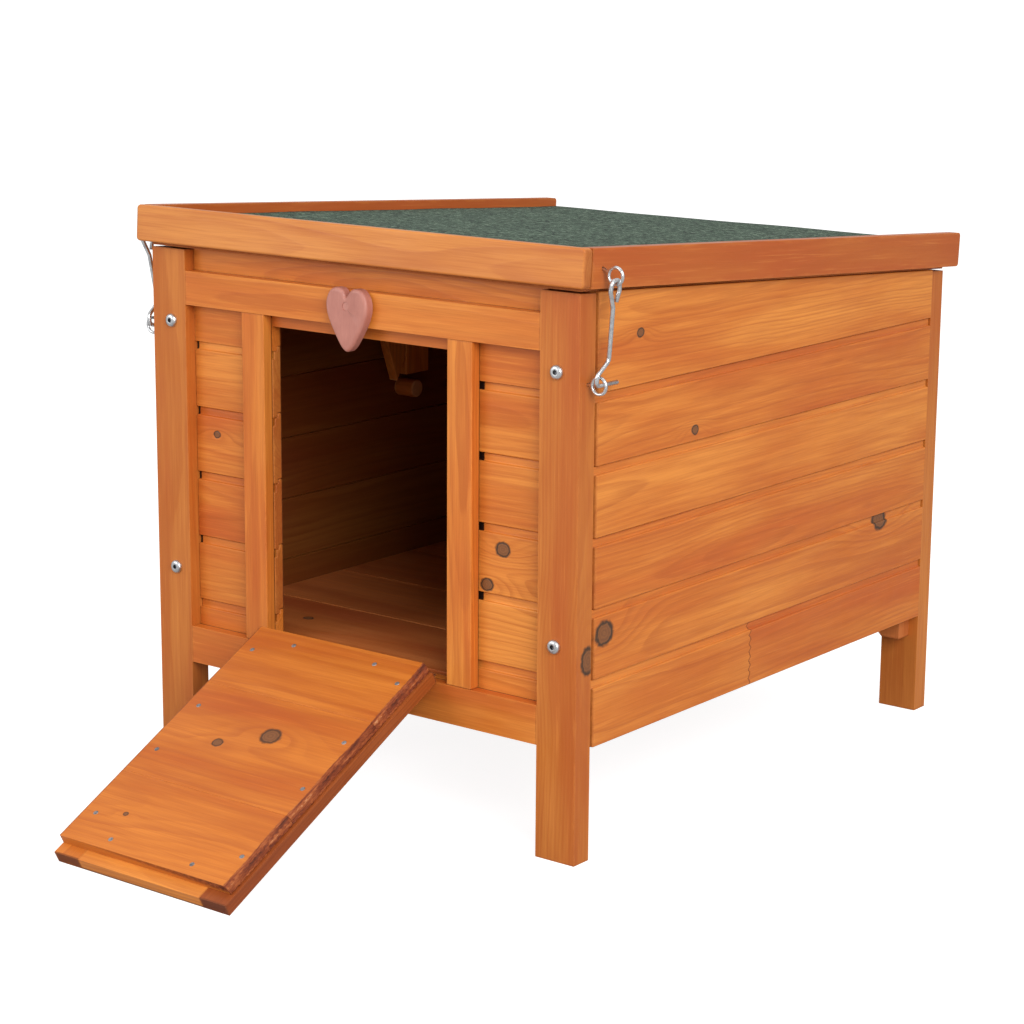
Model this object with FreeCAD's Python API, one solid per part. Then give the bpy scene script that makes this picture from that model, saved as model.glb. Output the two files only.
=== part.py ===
import FreeCAD, Part
import math
import os

# Rabbit hutch: a raised pine hut with a lean-to roof that lifts on rear hinges, a ramp that closes
# as its door, and two wire hooks. Millimetres, +Z up, -Y to the front, X = 0 on the centre line.
# The parts are laid out with Y = 0 on the front face of the posts, and export moves them so that
# the origin is the middle of the whole footprint on the ground.

Vector = FreeCAD.Vector

# --- driving dimensions ---------------------------------------------------------------------
BODY_WIDTH = 406.0            # across the outer faces of the posts
BODY_DEPTH = 502.0            # front face of front posts to rear face of rear posts
POST_WIDTH = 34.0
POST_DEPTH = 17.4
POST_TOP = 406.0              # height of a front post at its front face
ROOF_PITCH = 3.8              # degrees, falling to the rear
WALL_BOTTOM = 83.0            # underside of the walls above the ground

BOARD = 9.5                   # thickness of wall boards, rails and stiles
FIRST_JOINT = 132.5           # height of the lowest joint between wall boards
BOARD_PITCH = 50.75
JOINT_COUNT = 5               # joints in a side or rear wall
HEAD_BOARD = 6                # number of the front wall's top board, counted from 0 below
REVEAL = 6.3                  # height of the recessed strip below each joint
REVEAL_DEPTH = 2.2
LAP = 3.0                     # height of the tongue behind the board above
TONGUE = 4.2                  # thickness of that tongue
FIT = 0.3                     # air in a tongued joint
SIDE_PROUD = 1.0              # side boards stand this far outside the posts
SIDE_END_GAP = 0.8            # gap between a side board's end and the post
ROOF_SEAT_GAP = 0.5           # walls stop this far under the roof frame

TOP_RAIL_BOTTOM = 364.2
TOP_RAIL_TOP = 390.0
BOTTOM_RAIL_TOP = 112.0
STILE_WIDTH = 22.5
DOOR_LEFT = -88.5             # inner edge of the left door stile
DOOR_RIGHT = 87.0             # inner edge of the right door stile
DOORWAY_TOP = 354.5

CLEAT_WIDTH = 19.5
CLEAT_DEPTH = 16.6
FRONT_CLEAT_BOTTOM = 84.0
REAR_CLEAT_BOTTOM = 64.5      # the rear cleats hang below the wall
CLEAT_CHAMFER = 3.0

FLOOR_TOP = 114.0
FLOOR_THICKNESS = 9.0
FLOOR_BOARD_COUNT = 5
FLOOR_GAP = 0.5
BEARER_WIDTH = 15.0
BEARER_BOTTOM = 88.0

FASCIA_HEIGHT = 27.5
FASCIA_BOTTOM = 410.5         # height of the fascia's lower front edge
TRIM = 9.0                    # thickness of fascia and side trims
TRIM_OVERHANG = 8.5           # side trims stand this far outside the posts
TRIM_ROUND = 3.0
ROOF_LENGTH = 521.7           # along the slope, fascia face to rear end of the trims
FASCIA_DROP = 2.4             # fascia's lower edge above the underside of the roof frame
FRAME_HEIGHT = 11.0
FRAME_WIDTH = 18.0
DECK_THICKNESS = 9.5
FELT_THICKNESS = 2.3
ROOF_AIR = 0.2
DECK_SETBACK = 1.0            # deck stops this far short of the trims' rear ends
FELT_OVERRUN = 0.5            # felt runs this far past the deck

RAMP_LEFT = -86.5
RAMP_RIGHT = 79.5
RAMP_LENGTH = 245.0
RAMP_FRAME = 9.2              # thickness of the ramp's frame
RAMP_MEMBER = 24.0            # width of its stiles and rails
RAMP_BOARD = 7.5
RAMP_BOARD_LENGTHS = (66.0, 98.8, 70.4)
RAMP_BOARD_GAP = 0.3
RAMP_BOARD_SET = 1.0          # boards stop short of the frame's right edge
NAIL_HEAD = 1.6
NAIL_SHANK = 0.9
NAIL_LENGTH = 14.0
NAIL_HEAD_HEIGHT = 0.8
NAIL_ROWS = (25.0, 90.0, 139.0, 208.0)
NAIL_END_ROWS = (11.8, 226.0)
NAIL_END_SETBACK = 43.5

LEAF = 1.2                    # hinge leaf thickness
HINGE_LENGTH = 40.0
PIN_RADIUS = 1.25
PIN_CLEARANCE = 0.05
KNUCKLE_RADIUS = 2.2
KNUCKLE_GAP = 0.3
LEAF_RELIEF = 3.0             # full-width leaf starts this far from the pin
SCREW_HEAD = 2.9
SCREW_SHANK = 1.4
SCREW_LENGTH = 8.5
RAMP_HINGE_LEAF = 13.5
SILL_SCREW_Y = 7.5            # screws of the ramp hinges, behind the front face
DOOR_SCREW_Y = 5.0
RAMP_HINGE_Y = -0.5
RAMP_HINGE_SPACING = 100.0
ROOF_HINGE_OFFSET = 2.4       # pin behind the rear face
ROOF_HINGE_LEAF_DOWN = 18.0
ROOF_HINGE_LEAF_UP = 10.6
ROOF_HINGE_SPACING = 240.0

BOLT_INSET = 19.3             # bolt centre from the outer face of the post
BOLT_HEIGHTS = (157.4, 350.9)
BOLT_HEAD = 5.2
BOLT_HEAD_HEIGHT = 2.8
BOLT_SHANK = 2.5
BOLT_LENGTH = 32.0
BOLT_HEX = 3.0                # across corners
BOLT_HEX_DEPTH = 1.8
BOLT_DOME = 0.75              # share of the head that is rounded

HEART_X = 0.0                 # pivot
HEART_Z = 379.5
HEART_WIDTH = 38.8
HEART_HEIGHT = 46.2
HEART_ABOVE = 13.0            # lobes above the pivot
HEART_THICKNESS = 7.5
HEART_GAP = 1.0
HEART_EDGE = 2.6
HEART_SHAPE = (               # sideways in half widths, and down from the lobes' top
    (0.0, 0.27),
    (0.13, 0.13),
    (0.30, 0.02),
    (0.50, 0.0),
    (0.73, 0.06),
    (0.91, 0.24),
    (1.0, 0.52),
    (0.96, 0.84),
    (0.80, 1.18),
    (0.60, 1.48),
    (0.37, 1.79),
    (0.18, 1.98),
    (0.0, 2.053),
)
HEART_BORE = 2.05
HEART_SCREW = 2.0
HEART_SCREW_HEAD = 3.0
HEART_SCREW_CONE = 1.6        # height of its countersunk head
HEART_SCREW_SINK = 2.1
HEART_SCREW_REACH = 5.0       # past the rail, into the header board
HEART_SCREW_ROOM = 0.1
HEART_WASHER = 5.5
WASHER_PLAY = 0.2

HOOK_WIRE = 1.6
EYE_WIRE = 1.2
EYE_RING = 5.8                # centre-line radius of a screw eye's ring
EYE_Y = 12.9                  # upper eye behind the front face
UPPER_EYE_OUT = 10.6          # ring centre outside the trim
UPPER_EYE_DROP = 4.4          # ring centre below where its shank enters the trim
LOWER_EYE_OUT = 9.7           # ring centre outside the post
LOWER_EYE_Y = 8.7
LOWER_EYE_Z = 343.3
UPPER_EYE_BITE = 7.0          # shank inside the wood
LOWER_EYE_BITE = 13.0
HOOK_HANG = 3.05              # hook's wire above the ring wire it hangs on
HOOK_LOOP = 4.6               # centre-line radius of the top of the hook's eye

PEG_RADIUS = 7.5
PEG_Y = 282.0
PEG_Z = 261.0
PEG_LENGTH = 19.5
PROP_THICKNESS = 9.0
PROP_Y = 274.0
PROP_SCREW = 2.0
PROP_BORE = 2.05
PROP_SCREW_BITE = 10.0        # screw's length inside the batten
PROP_HEAD = 4.0
PROP_HEAD_HEIGHT = 1.8
PROP_GAP = 0.3                # air on either side of the arm
PROP_TOP_RADIUS = 5.0
PROP_SHOULDER_Z = 372.0
PROP_FLARE_Z = 345.0
PROP_TOOTH_Z = 270.6
PROP_NOTCH_Z = 301.0
PROP_FOOT_Z = 274.8

CUTTER_MARGIN = 60.0          # roof-plane cutter, past the roof's ends
CUTTER_HEIGHT = 200.0

# --- derived ---------------------------------------------------------------------------------
HALF = BODY_WIDTH / 2
PITCH = math.radians(ROOF_PITCH)
SLOPE = Vector(0, math.cos(PITCH), -math.sin(PITCH))
NORMAL = Vector(0, math.sin(PITCH), math.cos(PITCH))
ROOF_ZERO = Vector(0, -TRIM, FASCIA_BOTTOM) - NORMAL * FASCIA_DROP
ROOF_HALF = HALF + TRIM_OVERHANG
DECK_HALF = ROOF_HALF - TRIM - ROOF_AIR
SIDE_OUT = HALF + SIDE_PROUD
SIDE_IN = SIDE_OUT - BOARD
PANEL_HALF = HALF - POST_WIDTH
REAR_FACE = BODY_DEPTH
RAMP_HINGE_Z = BOTTOM_RAIL_TOP + LEAF
RAMP_SHUT_BOTTOM = RAMP_HINGE_Z + LEAF
RAMP_SHUT_TOP = RAMP_SHUT_BOTTOM + RAMP_LENGTH
RAMP_CENTRE = (RAMP_LEFT + RAMP_RIGHT) / 2
FREE_CORNER = (-RAMP_HINGE_Y, RAMP_SHUT_TOP - RAMP_HINGE_Z)
FREE_RADIUS = math.hypot(*FREE_CORNER)
FREE_ANGLE = math.degrees(math.atan2(FREE_CORNER[1], FREE_CORNER[0]))
RAMP_SWING = 180 + math.degrees(math.asin(RAMP_HINGE_Z / FREE_RADIUS)) - FREE_ANGLE


def underside_z(y):
    """Height of the roof frame's underside at a depth y."""
    return ROOF_ZERO.z - (y - ROOF_ZERO.y) * math.tan(PITCH)


def roof_point(along, height, x=0.0):
    """A point given by its distance along the slope and its height off the frame's underside."""
    point = ROOF_ZERO + SLOPE * along + NORMAL * height
    return Vector(x, point.y, point.z)


def along_at(y, height=0.0):
    """Distance along the slope of a point at a depth y and a height off the frame's underside."""
    return (y - ROOF_ZERO.y - height * math.sin(PITCH)) / math.cos(PITCH)


ROOF_HINGE_Y = REAR_FACE + ROOF_HINGE_OFFSET
ROOF_HINGE_Z = underside_z(ROOF_HINGE_Y) - ROOF_SEAT_GAP / 2
FREE_RAMP_ANGLE = math.radians(FREE_ANGLE + RAMP_SWING)


def ramp_rest(shape):
    """Turn a piece of the ramp from its shut place to its place on the ground."""
    turned = shape.copy()
    turned.rotate(Vector(0, RAMP_HINGE_Y, RAMP_HINGE_Z), Vector(1, 0, 0), RAMP_SWING)
    return turned


def box(x0, x1, y0, y1, z0, z1):
    return Part.makeBox(x1 - x0, y1 - y0, z1 - z0, Vector(x0, y0, z0))


def rod(start, end, radius):
    axis = end - start
    return Part.makeCylinder(radius, axis.Length, start, axis)


def prism(points, direction):
    wire = Part.makePolygon(points + [points[0]])
    return Part.Face(wire).extrude(direction)


def mirrored(shape):
    return shape.mirror(Vector(0, 0, 0), Vector(1, 0, 0))


def cut_all(shape, tools):
    for tool in tools:
        shape = shape.cut(tool)
    return shape


def one_solid(shape):
    """The solid inside a boolean's result, which has to be a single one."""
    solids = shape.Solids
    if len(solids) != 1:
        raise ValueError(f"expected one solid, found {len(solids)}")
    return solids[0]


def under_roof(shape, gap):
    """Trim a piece to a plane parallel to the roof, gap below the roof frame."""
    corner = roof_point(-CUTTER_MARGIN, -gap, -BODY_WIDTH)
    far = roof_point(ROOF_LENGTH + CUTTER_MARGIN, -gap, -BODY_WIDTH)
    lift = Vector(0, 0, CUTTER_HEIGHT)
    wedge = prism([corner, far, far + lift, corner + lift], Vector(2 * BODY_WIDTH, 0, 0))
    return one_solid(shape.cut(wedge))


def edges_along(shape, direction, test):
    """Straight edges parallel to a direction whose centre passes a test."""
    found = []
    for edge in shape.Edges:
        run = edge.Vertexes[-1].Point - edge.Vertexes[0].Point
        if run.Length > 0 and run.cross(direction).Length < 1e-4 * run.Length:
            if test(edge.CenterOfMass):
                found.append(edge)
    return found


def rounded_path(points, radii):
    """Straight runs through the points, joined by tangent arcs of the given radii."""
    edges = []
    start = points[0]
    for corner, after, radius in zip(points[1:], points[2:], radii):
        into = (corner - start).normalize()
        out = (after - corner).normalize()
        turn = into.getAngle(out)
        trim = radius * math.tan(turn / 2)
        arc_start = corner - into * trim
        arc_end = corner + out * trim
        bisector = (out - into).normalize()
        centre = corner + bisector * (radius / math.cos(turn / 2))
        middle = centre - bisector * radius
        edges.append(Part.LineSegment(start, arc_start).toShape())
        edges.append(Part.Arc(arc_start, middle, arc_end).toShape())
        start = arc_end
    edges.append(Part.LineSegment(start, points[-1]).toShape())
    return Part.Wire(edges)


def wire_piece(path, radius):
    """Round wire bent along a path, with flat ends."""
    first = path.OrderedEdges[0]
    start = first.valueAt(first.FirstParameter)
    heading = first.tangentAt(first.FirstParameter)
    circle = Part.Wire(Part.Circle(start, heading, radius).toShape())
    return one_solid(path.makePipeShell([circle], True, False))


# --- wall boards -----------------------------------------------------------------------------
def joint_height(index):
    return FIRST_JOINT + BOARD_PITCH * index


def board_section(index, last):
    """Section of a wall board as (depth from the outer face, height) points, counted from below."""
    back = BOARD - TONGUE
    bottom = WALL_BOTTOM if index == 0 else joint_height(index - 1)
    if index == 0:
        points = [(BOARD, bottom), (0, bottom)]
    else:
        shoulder = bottom + LAP + FIT
        points = [(BOARD, shoulder), (back - FIT, shoulder), (back - FIT, bottom), (0, bottom)]
    if index == last:
        top = POST_TOP + 10
        return points + [(0, top), (BOARD, top)]
    top = joint_height(index)
    return points + [
        (0, top - REVEAL),
        (REVEAL_DEPTH, top - REVEAL),
        (REVEAL_DEPTH, top - FIT),
        (back, top - FIT),
        (back, top + LAP),
        (BOARD, top + LAP),
    ]


def front_board(index, x0, x1):
    points = [Vector(x0, BOARD + depth, z) for depth, z in board_section(index, HEAD_BOARD)]
    return prism(points, Vector(x1 - x0, 0, 0))


def rear_board(index, x0, x1):
    outer = REAR_FACE - BOARD
    points = [Vector(x0, outer - depth, z) for depth, z in board_section(index, JOINT_COUNT)]
    return prism(points, Vector(x1 - x0, 0, 0))


def side_board(index, y0, y1):
    """A board of the right-hand wall."""
    points = [Vector(SIDE_OUT - depth, y0, z) for depth, z in board_section(index, JOINT_COUNT)]
    return prism(points, Vector(0, y1 - y0, 0))


# --- fixings ---------------------------------------------------------------------------------
def countersunk_screw(point, inward):
    """Countersunk wood screw whose head is flush at a point and which runs inward."""
    head_height = SCREW_HEAD - SCREW_SHANK
    head = Part.makeCone(SCREW_HEAD, SCREW_SHANK, head_height, point, inward)
    shank = Part.makeCylinder(SCREW_SHANK, SCREW_LENGTH, point, inward)
    return one_solid(head.fuse(shank).removeSplitter())


def nail(point, inward):
    head = Part.makeCylinder(NAIL_HEAD, NAIL_HEAD_HEIGHT, point, inward)
    shank = Part.makeCylinder(NAIL_SHANK, NAIL_LENGTH, point, inward)
    return one_solid(head.fuse(shank).removeSplitter())


def post_bolt(x, z, front):
    """Button head bolt with a hex socket, through a post into the cleat behind it."""
    inward = Vector(0, 1 if front else -1, 0)
    face = Vector(x, 0 if front else REAR_FACE, z)
    crown = face - inward * BOLT_HEAD_HEIGHT
    head = Part.makeCylinder(BOLT_HEAD, BOLT_HEAD_HEIGHT, crown, inward)
    rim = [edge for edge in head.Edges if abs(edge.CenterOfMass.y - crown.y) < 0.1]
    head = head.makeFillet(BOLT_HEAD_HEIGHT * BOLT_DOME, rim)
    shank = Part.makeCylinder(BOLT_SHANK, BOLT_LENGTH, face, inward)
    corners = []
    for step in range(6):
        angle = math.radians(60 * step)
        corners.append(crown + Vector(BOLT_HEX * math.cos(angle), 0, BOLT_HEX * math.sin(angle)))
    socket = prism(corners, inward * BOLT_HEX_DEPTH)
    return one_solid(head.fuse(shank).cut(socket))


def screw_eye(ring_centre, entry, depth):
    """Wire ring on a shank that enters the wood at a point, all in one plane across Y."""
    inward = (entry - ring_centre).normalize()
    ring = Part.makeTorus(EYE_RING, EYE_WIRE, ring_centre, Vector(0, 1, 0))
    root = ring_centre + inward * EYE_RING
    shank = rod(root, entry + inward * depth, EYE_WIRE)
    return one_solid(ring.fuse(shank))


def butt_hinge(x, pin, plate, face, thick, fixed):
    """One leaf of a butt hinge, with its plate set off from the pin by the vector face.

    The fixed leaf has the two outer knuckles, and the other has the middle one.
    """
    left = x - HINGE_LENGTH / 2
    third = HINGE_LENGTH / 3
    spans = [(0, third), (2 * third, HINGE_LENGTH)] if fixed else [(third, 2 * third)]
    along = Vector(plate).normalize()

    def plate_part(x0, x1, start, end):
        root = pin + Vector(x0, 0, 0) + face + along * start
        tip = root + along * (end - start)
        return prism([root, tip, tip + thick, root + thick], Vector(x1 - x0, 0, 0))

    leaf = plate_part(left, left + HINGE_LENGTH, LEAF_RELIEF, plate.Length)
    for start, end in spans:
        x0 = left + start + (KNUCKLE_GAP / 2 if start > 0 else 0)
        x1 = left + end - (KNUCKLE_GAP / 2 if end < HINGE_LENGTH else 0)
        knuckle = rod(pin + Vector(x0, 0, 0), pin + Vector(x1, 0, 0), KNUCKLE_RADIUS)
        leaf = leaf.fuse(knuckle).fuse(plate_part(x0, x1, 0, LEAF_RELIEF + 1))
    bore = PIN_RADIUS + PIN_CLEARANCE
    hole = rod(pin + Vector(left - 1, 0, 0), pin + Vector(left + HINGE_LENGTH + 1, 0, 0), bore)
    return one_solid(leaf.cut(hole).removeSplitter())


def hinge_pin(x, pin):
    start = pin + Vector(x - HINGE_LENGTH / 2, 0, 0)
    return Part.makeCylinder(PIN_RADIUS, HINGE_LENGTH, start, Vector(1, 0, 0))


nodes = {}

# --- fixings that the wood is cut for --------------------------------------------------------
bolt_x = HALF - BOLT_INSET
bolts = []
for front in (True, False):
    heights = BOLT_HEIGHTS if front else (BOLT_HEIGHTS[0], BOLT_HEIGHTS[1] - 30)
    for x in (-bolt_x, bolt_x):
        for z in heights:
            bolts.append(post_bolt(x, z, front))
nodes["post_bolts"] = bolts

# Latch: upper eye in the side trim, hook hanging on it, lower eye in the front post
trim_centre = FASCIA_DROP + FASCIA_HEIGHT / 2
upper_entry = roof_point(along_at(EYE_Y, trim_centre), trim_centre, ROOF_HALF)
upper_ring = upper_entry + Vector(UPPER_EYE_OUT, 0, -UPPER_EYE_DROP)
lower_ring = Vector(HALF + LOWER_EYE_OUT, LOWER_EYE_Y, LOWER_EYE_Z)
lower_entry = Vector(HALF, LOWER_EYE_Y, LOWER_EYE_Z)
upper_eye = screw_eye(upper_ring, upper_entry, UPPER_EYE_BITE)
lower_eye = screw_eye(lower_ring, lower_entry, LOWER_EYE_BITE)
hook_pivot = upper_ring - Vector(0, 0, EYE_RING)


def hook_wire():
    """Wire hook on the right-hand side: open loop, leaning rod, step and straight tip."""
    drop = hook_pivot.z - lower_ring.z
    lean = (hook_pivot.x - lower_ring.x) / drop

    def at(y, z):
        return Vector(hook_pivot.x + lean * z, hook_pivot.y + y, hook_pivot.z + z)

    top = HOOK_HANG
    side = HOOK_LOOP
    loop_mid = top - side
    points = [
        at(3.1, loop_mid - 10.5),
        at(side + 0.6, loop_mid - 3.0),
        at(side - 0.4, top),
        at(-side, top),
        at(-side - 0.2, loop_mid - 3.0),
        at(0.4, loop_mid - 14.5),
        at(3.4, -52.5),
        at(-7.6, -61.5),
        at(-7.6, lower_ring.z - hook_pivot.z + 0.2),
        at(16.5, lower_ring.z - hook_pivot.z + 0.2),
    ]
    radii = [3.6, 3.9, 3.9, 3.6, 5.0, 5.0, 5.0, 3.4]
    return wire_piece(rounded_path(points, radii), HOOK_WIRE)


hook = hook_wire()
nodes["latch_eye_right"] = [lower_eye]
nodes["latch_eye_left"] = [mirrored(lower_eye)]
nodes["hook_eye_right"] = [upper_eye]
nodes["hook_eye_left"] = [mirrored(upper_eye)]
nodes["hook_right"] = [hook]
nodes["hook_left"] = [mirrored(hook)]

# --- posts -----------------------------------------------------------------------------------
POST_GAP = 1.5                # posts stop a little lower than the walls
for side_name, sign in (("left", -1), ("right", 1)):
    x0, x1 = sorted((sign * HALF, sign * (HALF - POST_WIDTH)))
    front_post = under_roof(box(x0, x1, 0, POST_DEPTH, 0, POST_TOP + 10), POST_GAP)
    rear_post = under_roof(box(x0, x1, BODY_DEPTH - POST_DEPTH, BODY_DEPTH, 0, POST_TOP + 10), POST_GAP)
    eye = lower_eye if sign > 0 else mirrored(lower_eye)
    nodes[f"post_front_{side_name}"] = [one_solid(cut_all(front_post, bolts + [eye]))]
    nodes[f"post_rear_{side_name}"] = [one_solid(cut_all(rear_post, bolts))]

# --- front wall ------------------------------------------------------------------------------
hinge_xs = (RAMP_CENTRE - RAMP_HINGE_SPACING / 2, RAMP_CENTRE + RAMP_HINGE_SPACING / 2)
ramp_pin = Vector(0, RAMP_HINGE_Y, RAMP_HINGE_Z)
leaf_run = Vector(0, RAMP_HINGE_LEAF, 0)
knuckle_room = []
for x in hinge_xs:
    room = KNUCKLE_RADIUS + 0.3
    start = Vector(x - HINGE_LENGTH / 2 - 0.5, RAMP_HINGE_Y, RAMP_HINGE_Z)
    knuckle_room.append(Part.makeCylinder(room, HINGE_LENGTH + 1, start, Vector(1, 0, 0)))

screw_offsets = (-HINGE_LENGTH / 3, HINGE_LENGTH / 3)
sill_leaves = []
sill_screws = []
for x in hinge_xs:
    leaf = butt_hinge(x, ramp_pin, leaf_run, Vector(0, 0, 0), Vector(0, 0, -LEAF), True)
    for offset in screw_offsets:
        point = Vector(x + offset, SILL_SCREW_Y, RAMP_HINGE_Z)
        screw = countersunk_screw(point, Vector(0, 0, -1))
        sill_screws.append(screw)
        leaf = leaf.cut(screw)
    sill_leaves.append(one_solid(leaf))
nodes["ramp_hinge_sill_leaves"] = sill_leaves
nodes["ramp_hinge_sill_screws"] = sill_screws

heart_screw_tip = Vector(HEART_X, BOARD + HEART_SCREW_REACH, HEART_Z)
heart_face = -HEART_GAP - HEART_THICKNESS
heart_head_y = heart_face + HEART_SCREW_SINK - HEART_SCREW_CONE
heart_screw_top = Vector(HEART_X, heart_head_y, HEART_Z)
heart_screw_head = Part.makeCone(
    HEART_SCREW_HEAD, HEART_SCREW, HEART_SCREW_CONE, heart_screw_top, Vector(0, 1, 0)
)
heart_screw_shank = rod(heart_screw_top, heart_screw_tip, HEART_SCREW)
heart_screw = one_solid(heart_screw_head.fuse(heart_screw_shank).removeSplitter())
washer_face = Vector(HEART_X, WASHER_PLAY - HEART_GAP, HEART_Z)
washer = Part.makeCylinder(HEART_WASHER, HEART_GAP - WASHER_PLAY, washer_face, Vector(0, 1, 0))
nodes["heart_pivot_screw"] = [heart_screw]
nodes["heart_washer"] = [one_solid(washer.cut(heart_screw))]

top_rail = box(-PANEL_HALF, PANEL_HALF, 0, BOARD, TOP_RAIL_BOTTOM, TOP_RAIL_TOP).cut(heart_screw)
bottom_rail = box(-PANEL_HALF, PANEL_HALF, 0, BOARD, WALL_BOTTOM, BOTTOM_RAIL_TOP)
bottom_rail = cut_all(bottom_rail, knuckle_room + sill_screws)
nodes["front_top_rail"] = [one_solid(top_rail)]
nodes["front_bottom_rail"] = [one_solid(bottom_rail)]
nodes["door_stile_left"] = [
    box(DOOR_LEFT - STILE_WIDTH, DOOR_LEFT, 0, BOARD, BOTTOM_RAIL_TOP, TOP_RAIL_BOTTOM)
]
nodes["door_stile_right"] = [
    box(DOOR_RIGHT, DOOR_RIGHT + STILE_WIDTH, 0, BOARD, BOTTOM_RAIL_TOP, TOP_RAIL_BOTTOM)
]

doorway = box(DOOR_LEFT, DOOR_RIGHT, 0, 3 * BOARD, BOTTOM_RAIL_TOP, DOORWAY_TOP)
bottom_board = front_board(0, -PANEL_HALF, PANEL_HALF).cut(doorway)
header_board = front_board(HEAD_BOARD - 1, -PANEL_HALF, PANEL_HALF).cut(doorway).cut(heart_screw)
head_board = under_roof(front_board(HEAD_BOARD, -PANEL_HALF, PANEL_HALF), ROOF_SEAT_GAP)
nodes["front_bottom_board"] = [one_solid(bottom_board)]
nodes["front_header_board"] = [one_solid(header_board)]
nodes["front_head_board"] = [one_solid(head_board.cut(heart_screw))]
nodes["front_left_boards"] = [front_board(i, -PANEL_HALF, DOOR_LEFT) for i in range(1, HEAD_BOARD - 1)]
nodes["front_right_boards"] = [front_board(i, DOOR_RIGHT, PANEL_HALF) for i in range(1, HEAD_BOARD - 1)]

# --- side walls and their corner cleats ------------------------------------------------------
side_start = POST_DEPTH + SIDE_END_GAP
side_end = BODY_DEPTH - POST_DEPTH - SIDE_END_GAP
side_boards = [side_board(i, side_start, side_end) for i in range(JOINT_COUNT + 1)]
side_boards[-1] = under_roof(side_boards[-1], ROOF_SEAT_GAP)

cleats = []
rear_cleat_start = BODY_DEPTH - POST_DEPTH - CLEAT_DEPTH
for y0, low in ((POST_DEPTH, FRONT_CLEAT_BOTTOM), (rear_cleat_start, REAR_CLEAT_BOTTOM)):
    cleat = box(SIDE_IN - CLEAT_WIDTH, SIDE_IN, y0, y0 + CLEAT_DEPTH, low, POST_TOP + 10)
    foot = edges_along(cleat, Vector(0, 1, 0), lambda p: p.z < low + 1 and p.x < SIDE_IN - 1)
    cleat = under_roof(cleat.makeChamfer(CLEAT_CHAMFER, foot), ROOF_SEAT_GAP)
    cleats.append(one_solid(cut_all(cleat, bolts)))

peg = rod(Vector(-SIDE_IN, PEG_Y, PEG_Z), Vector(-SIDE_IN + PEG_LENGTH, PEG_Y, PEG_Z), PEG_RADIUS)
peg_tip = [edge for edge in peg.Edges if edge.CenterOfMass.x > -SIDE_IN + PEG_LENGTH - 1]
nodes["prop_peg"] = [one_solid(peg.makeChamfer(1.0, peg_tip))]
nodes["right_side_boards"] = side_boards
nodes["left_side_boards"] = [mirrored(board) for board in side_boards]
nodes["right_corner_cleats"] = cleats
nodes["left_corner_cleats"] = [mirrored(cleat) for cleat in cleats]

# --- rear wall -------------------------------------------------------------------------------
roof_pin = Vector(0, ROOF_HINGE_Y, ROOF_HINGE_Z)
roof_hinge_xs = (-ROOF_HINGE_SPACING / 2, ROOF_HINGE_SPACING / 2)
leaf_down = Vector(0, 0, -ROOF_HINGE_LEAF_DOWN)
lower_leaves = []
lower_screws = []
for x in roof_hinge_xs:
    leaf = butt_hinge(x, roof_pin, leaf_down, Vector(0, -ROOF_HINGE_OFFSET, 0), Vector(0, LEAF, 0), True)
    for offset in screw_offsets:
        point = Vector(x + offset, REAR_FACE + LEAF, ROOF_HINGE_Z - ROOF_HINGE_LEAF_DOWN * 0.6)
        screw = countersunk_screw(point, Vector(0, -1, 0))
        lower_screws.append(screw)
        leaf = leaf.cut(screw)
    lower_leaves.append(one_solid(leaf))
nodes["roof_hinge_lower_leaves"] = lower_leaves
nodes["roof_hinge_lower_screws"] = lower_screws

rear_boards = [rear_board(i, -PANEL_HALF, PANEL_HALF) for i in range(JOINT_COUNT + 1)]
rear_boards[-1] = under_roof(rear_boards[-1], ROOF_SEAT_GAP)
nodes["rear_boards"] = rear_boards
rear_top = box(
    -PANEL_HALF, PANEL_HALF, REAR_FACE - BOARD, REAR_FACE, joint_height(JOINT_COUNT - 1) + 8, POST_TOP
)
rear_top = cut_all(under_roof(rear_top, ROOF_SEAT_GAP), lower_screws)
nodes["rear_top_rail"] = [one_solid(rear_top)]
nodes["rear_bottom_rail"] = [
    box(-PANEL_HALF, PANEL_HALF, REAR_FACE - BOARD, REAR_FACE, WALL_BOTTOM, BOTTOM_RAIL_TOP)
]

# --- floor -----------------------------------------------------------------------------------
floor_start = 2 * BOARD + 0.3
floor_end = REAR_FACE - 2 * BOARD - 0.3
floor_pitch = (floor_end - floor_start) / FLOOR_BOARD_COUNT
floor_half = SIDE_IN - 0.3
floor_bottom = FLOOR_TOP - FLOOR_THICKNESS
corner_posts = cleats + [mirrored(cleat) for cleat in cleats]
corner_room = []
for cleat in corner_posts:
    limits = cleat.BoundBox
    x0 = limits.XMin - FIT
    x1 = limits.XMax + FIT
    corner_room.append(box(x0, x1, limits.YMin - 3, limits.YMax + 3, floor_bottom - 1, FLOOR_TOP + 1))
floor_boards = []
for index in range(FLOOR_BOARD_COUNT):
    y0 = floor_start + index * floor_pitch
    board = box(-floor_half, floor_half, y0, y0 + floor_pitch - FLOOR_GAP, floor_bottom, FLOOR_TOP)
    if index in (0, FLOOR_BOARD_COUNT - 1):
        board = one_solid(cut_all(board, corner_room))
    floor_boards.append(board)
nodes["floor_boards"] = floor_boards
bearer_start = POST_DEPTH + CLEAT_DEPTH + 0.3
bearer = box(
    SIDE_IN - BEARER_WIDTH, SIDE_IN, bearer_start, BODY_DEPTH - bearer_start, BEARER_BOTTOM, floor_bottom
)
nodes["floor_bearers"] = [bearer, mirrored(bearer)]


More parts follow.
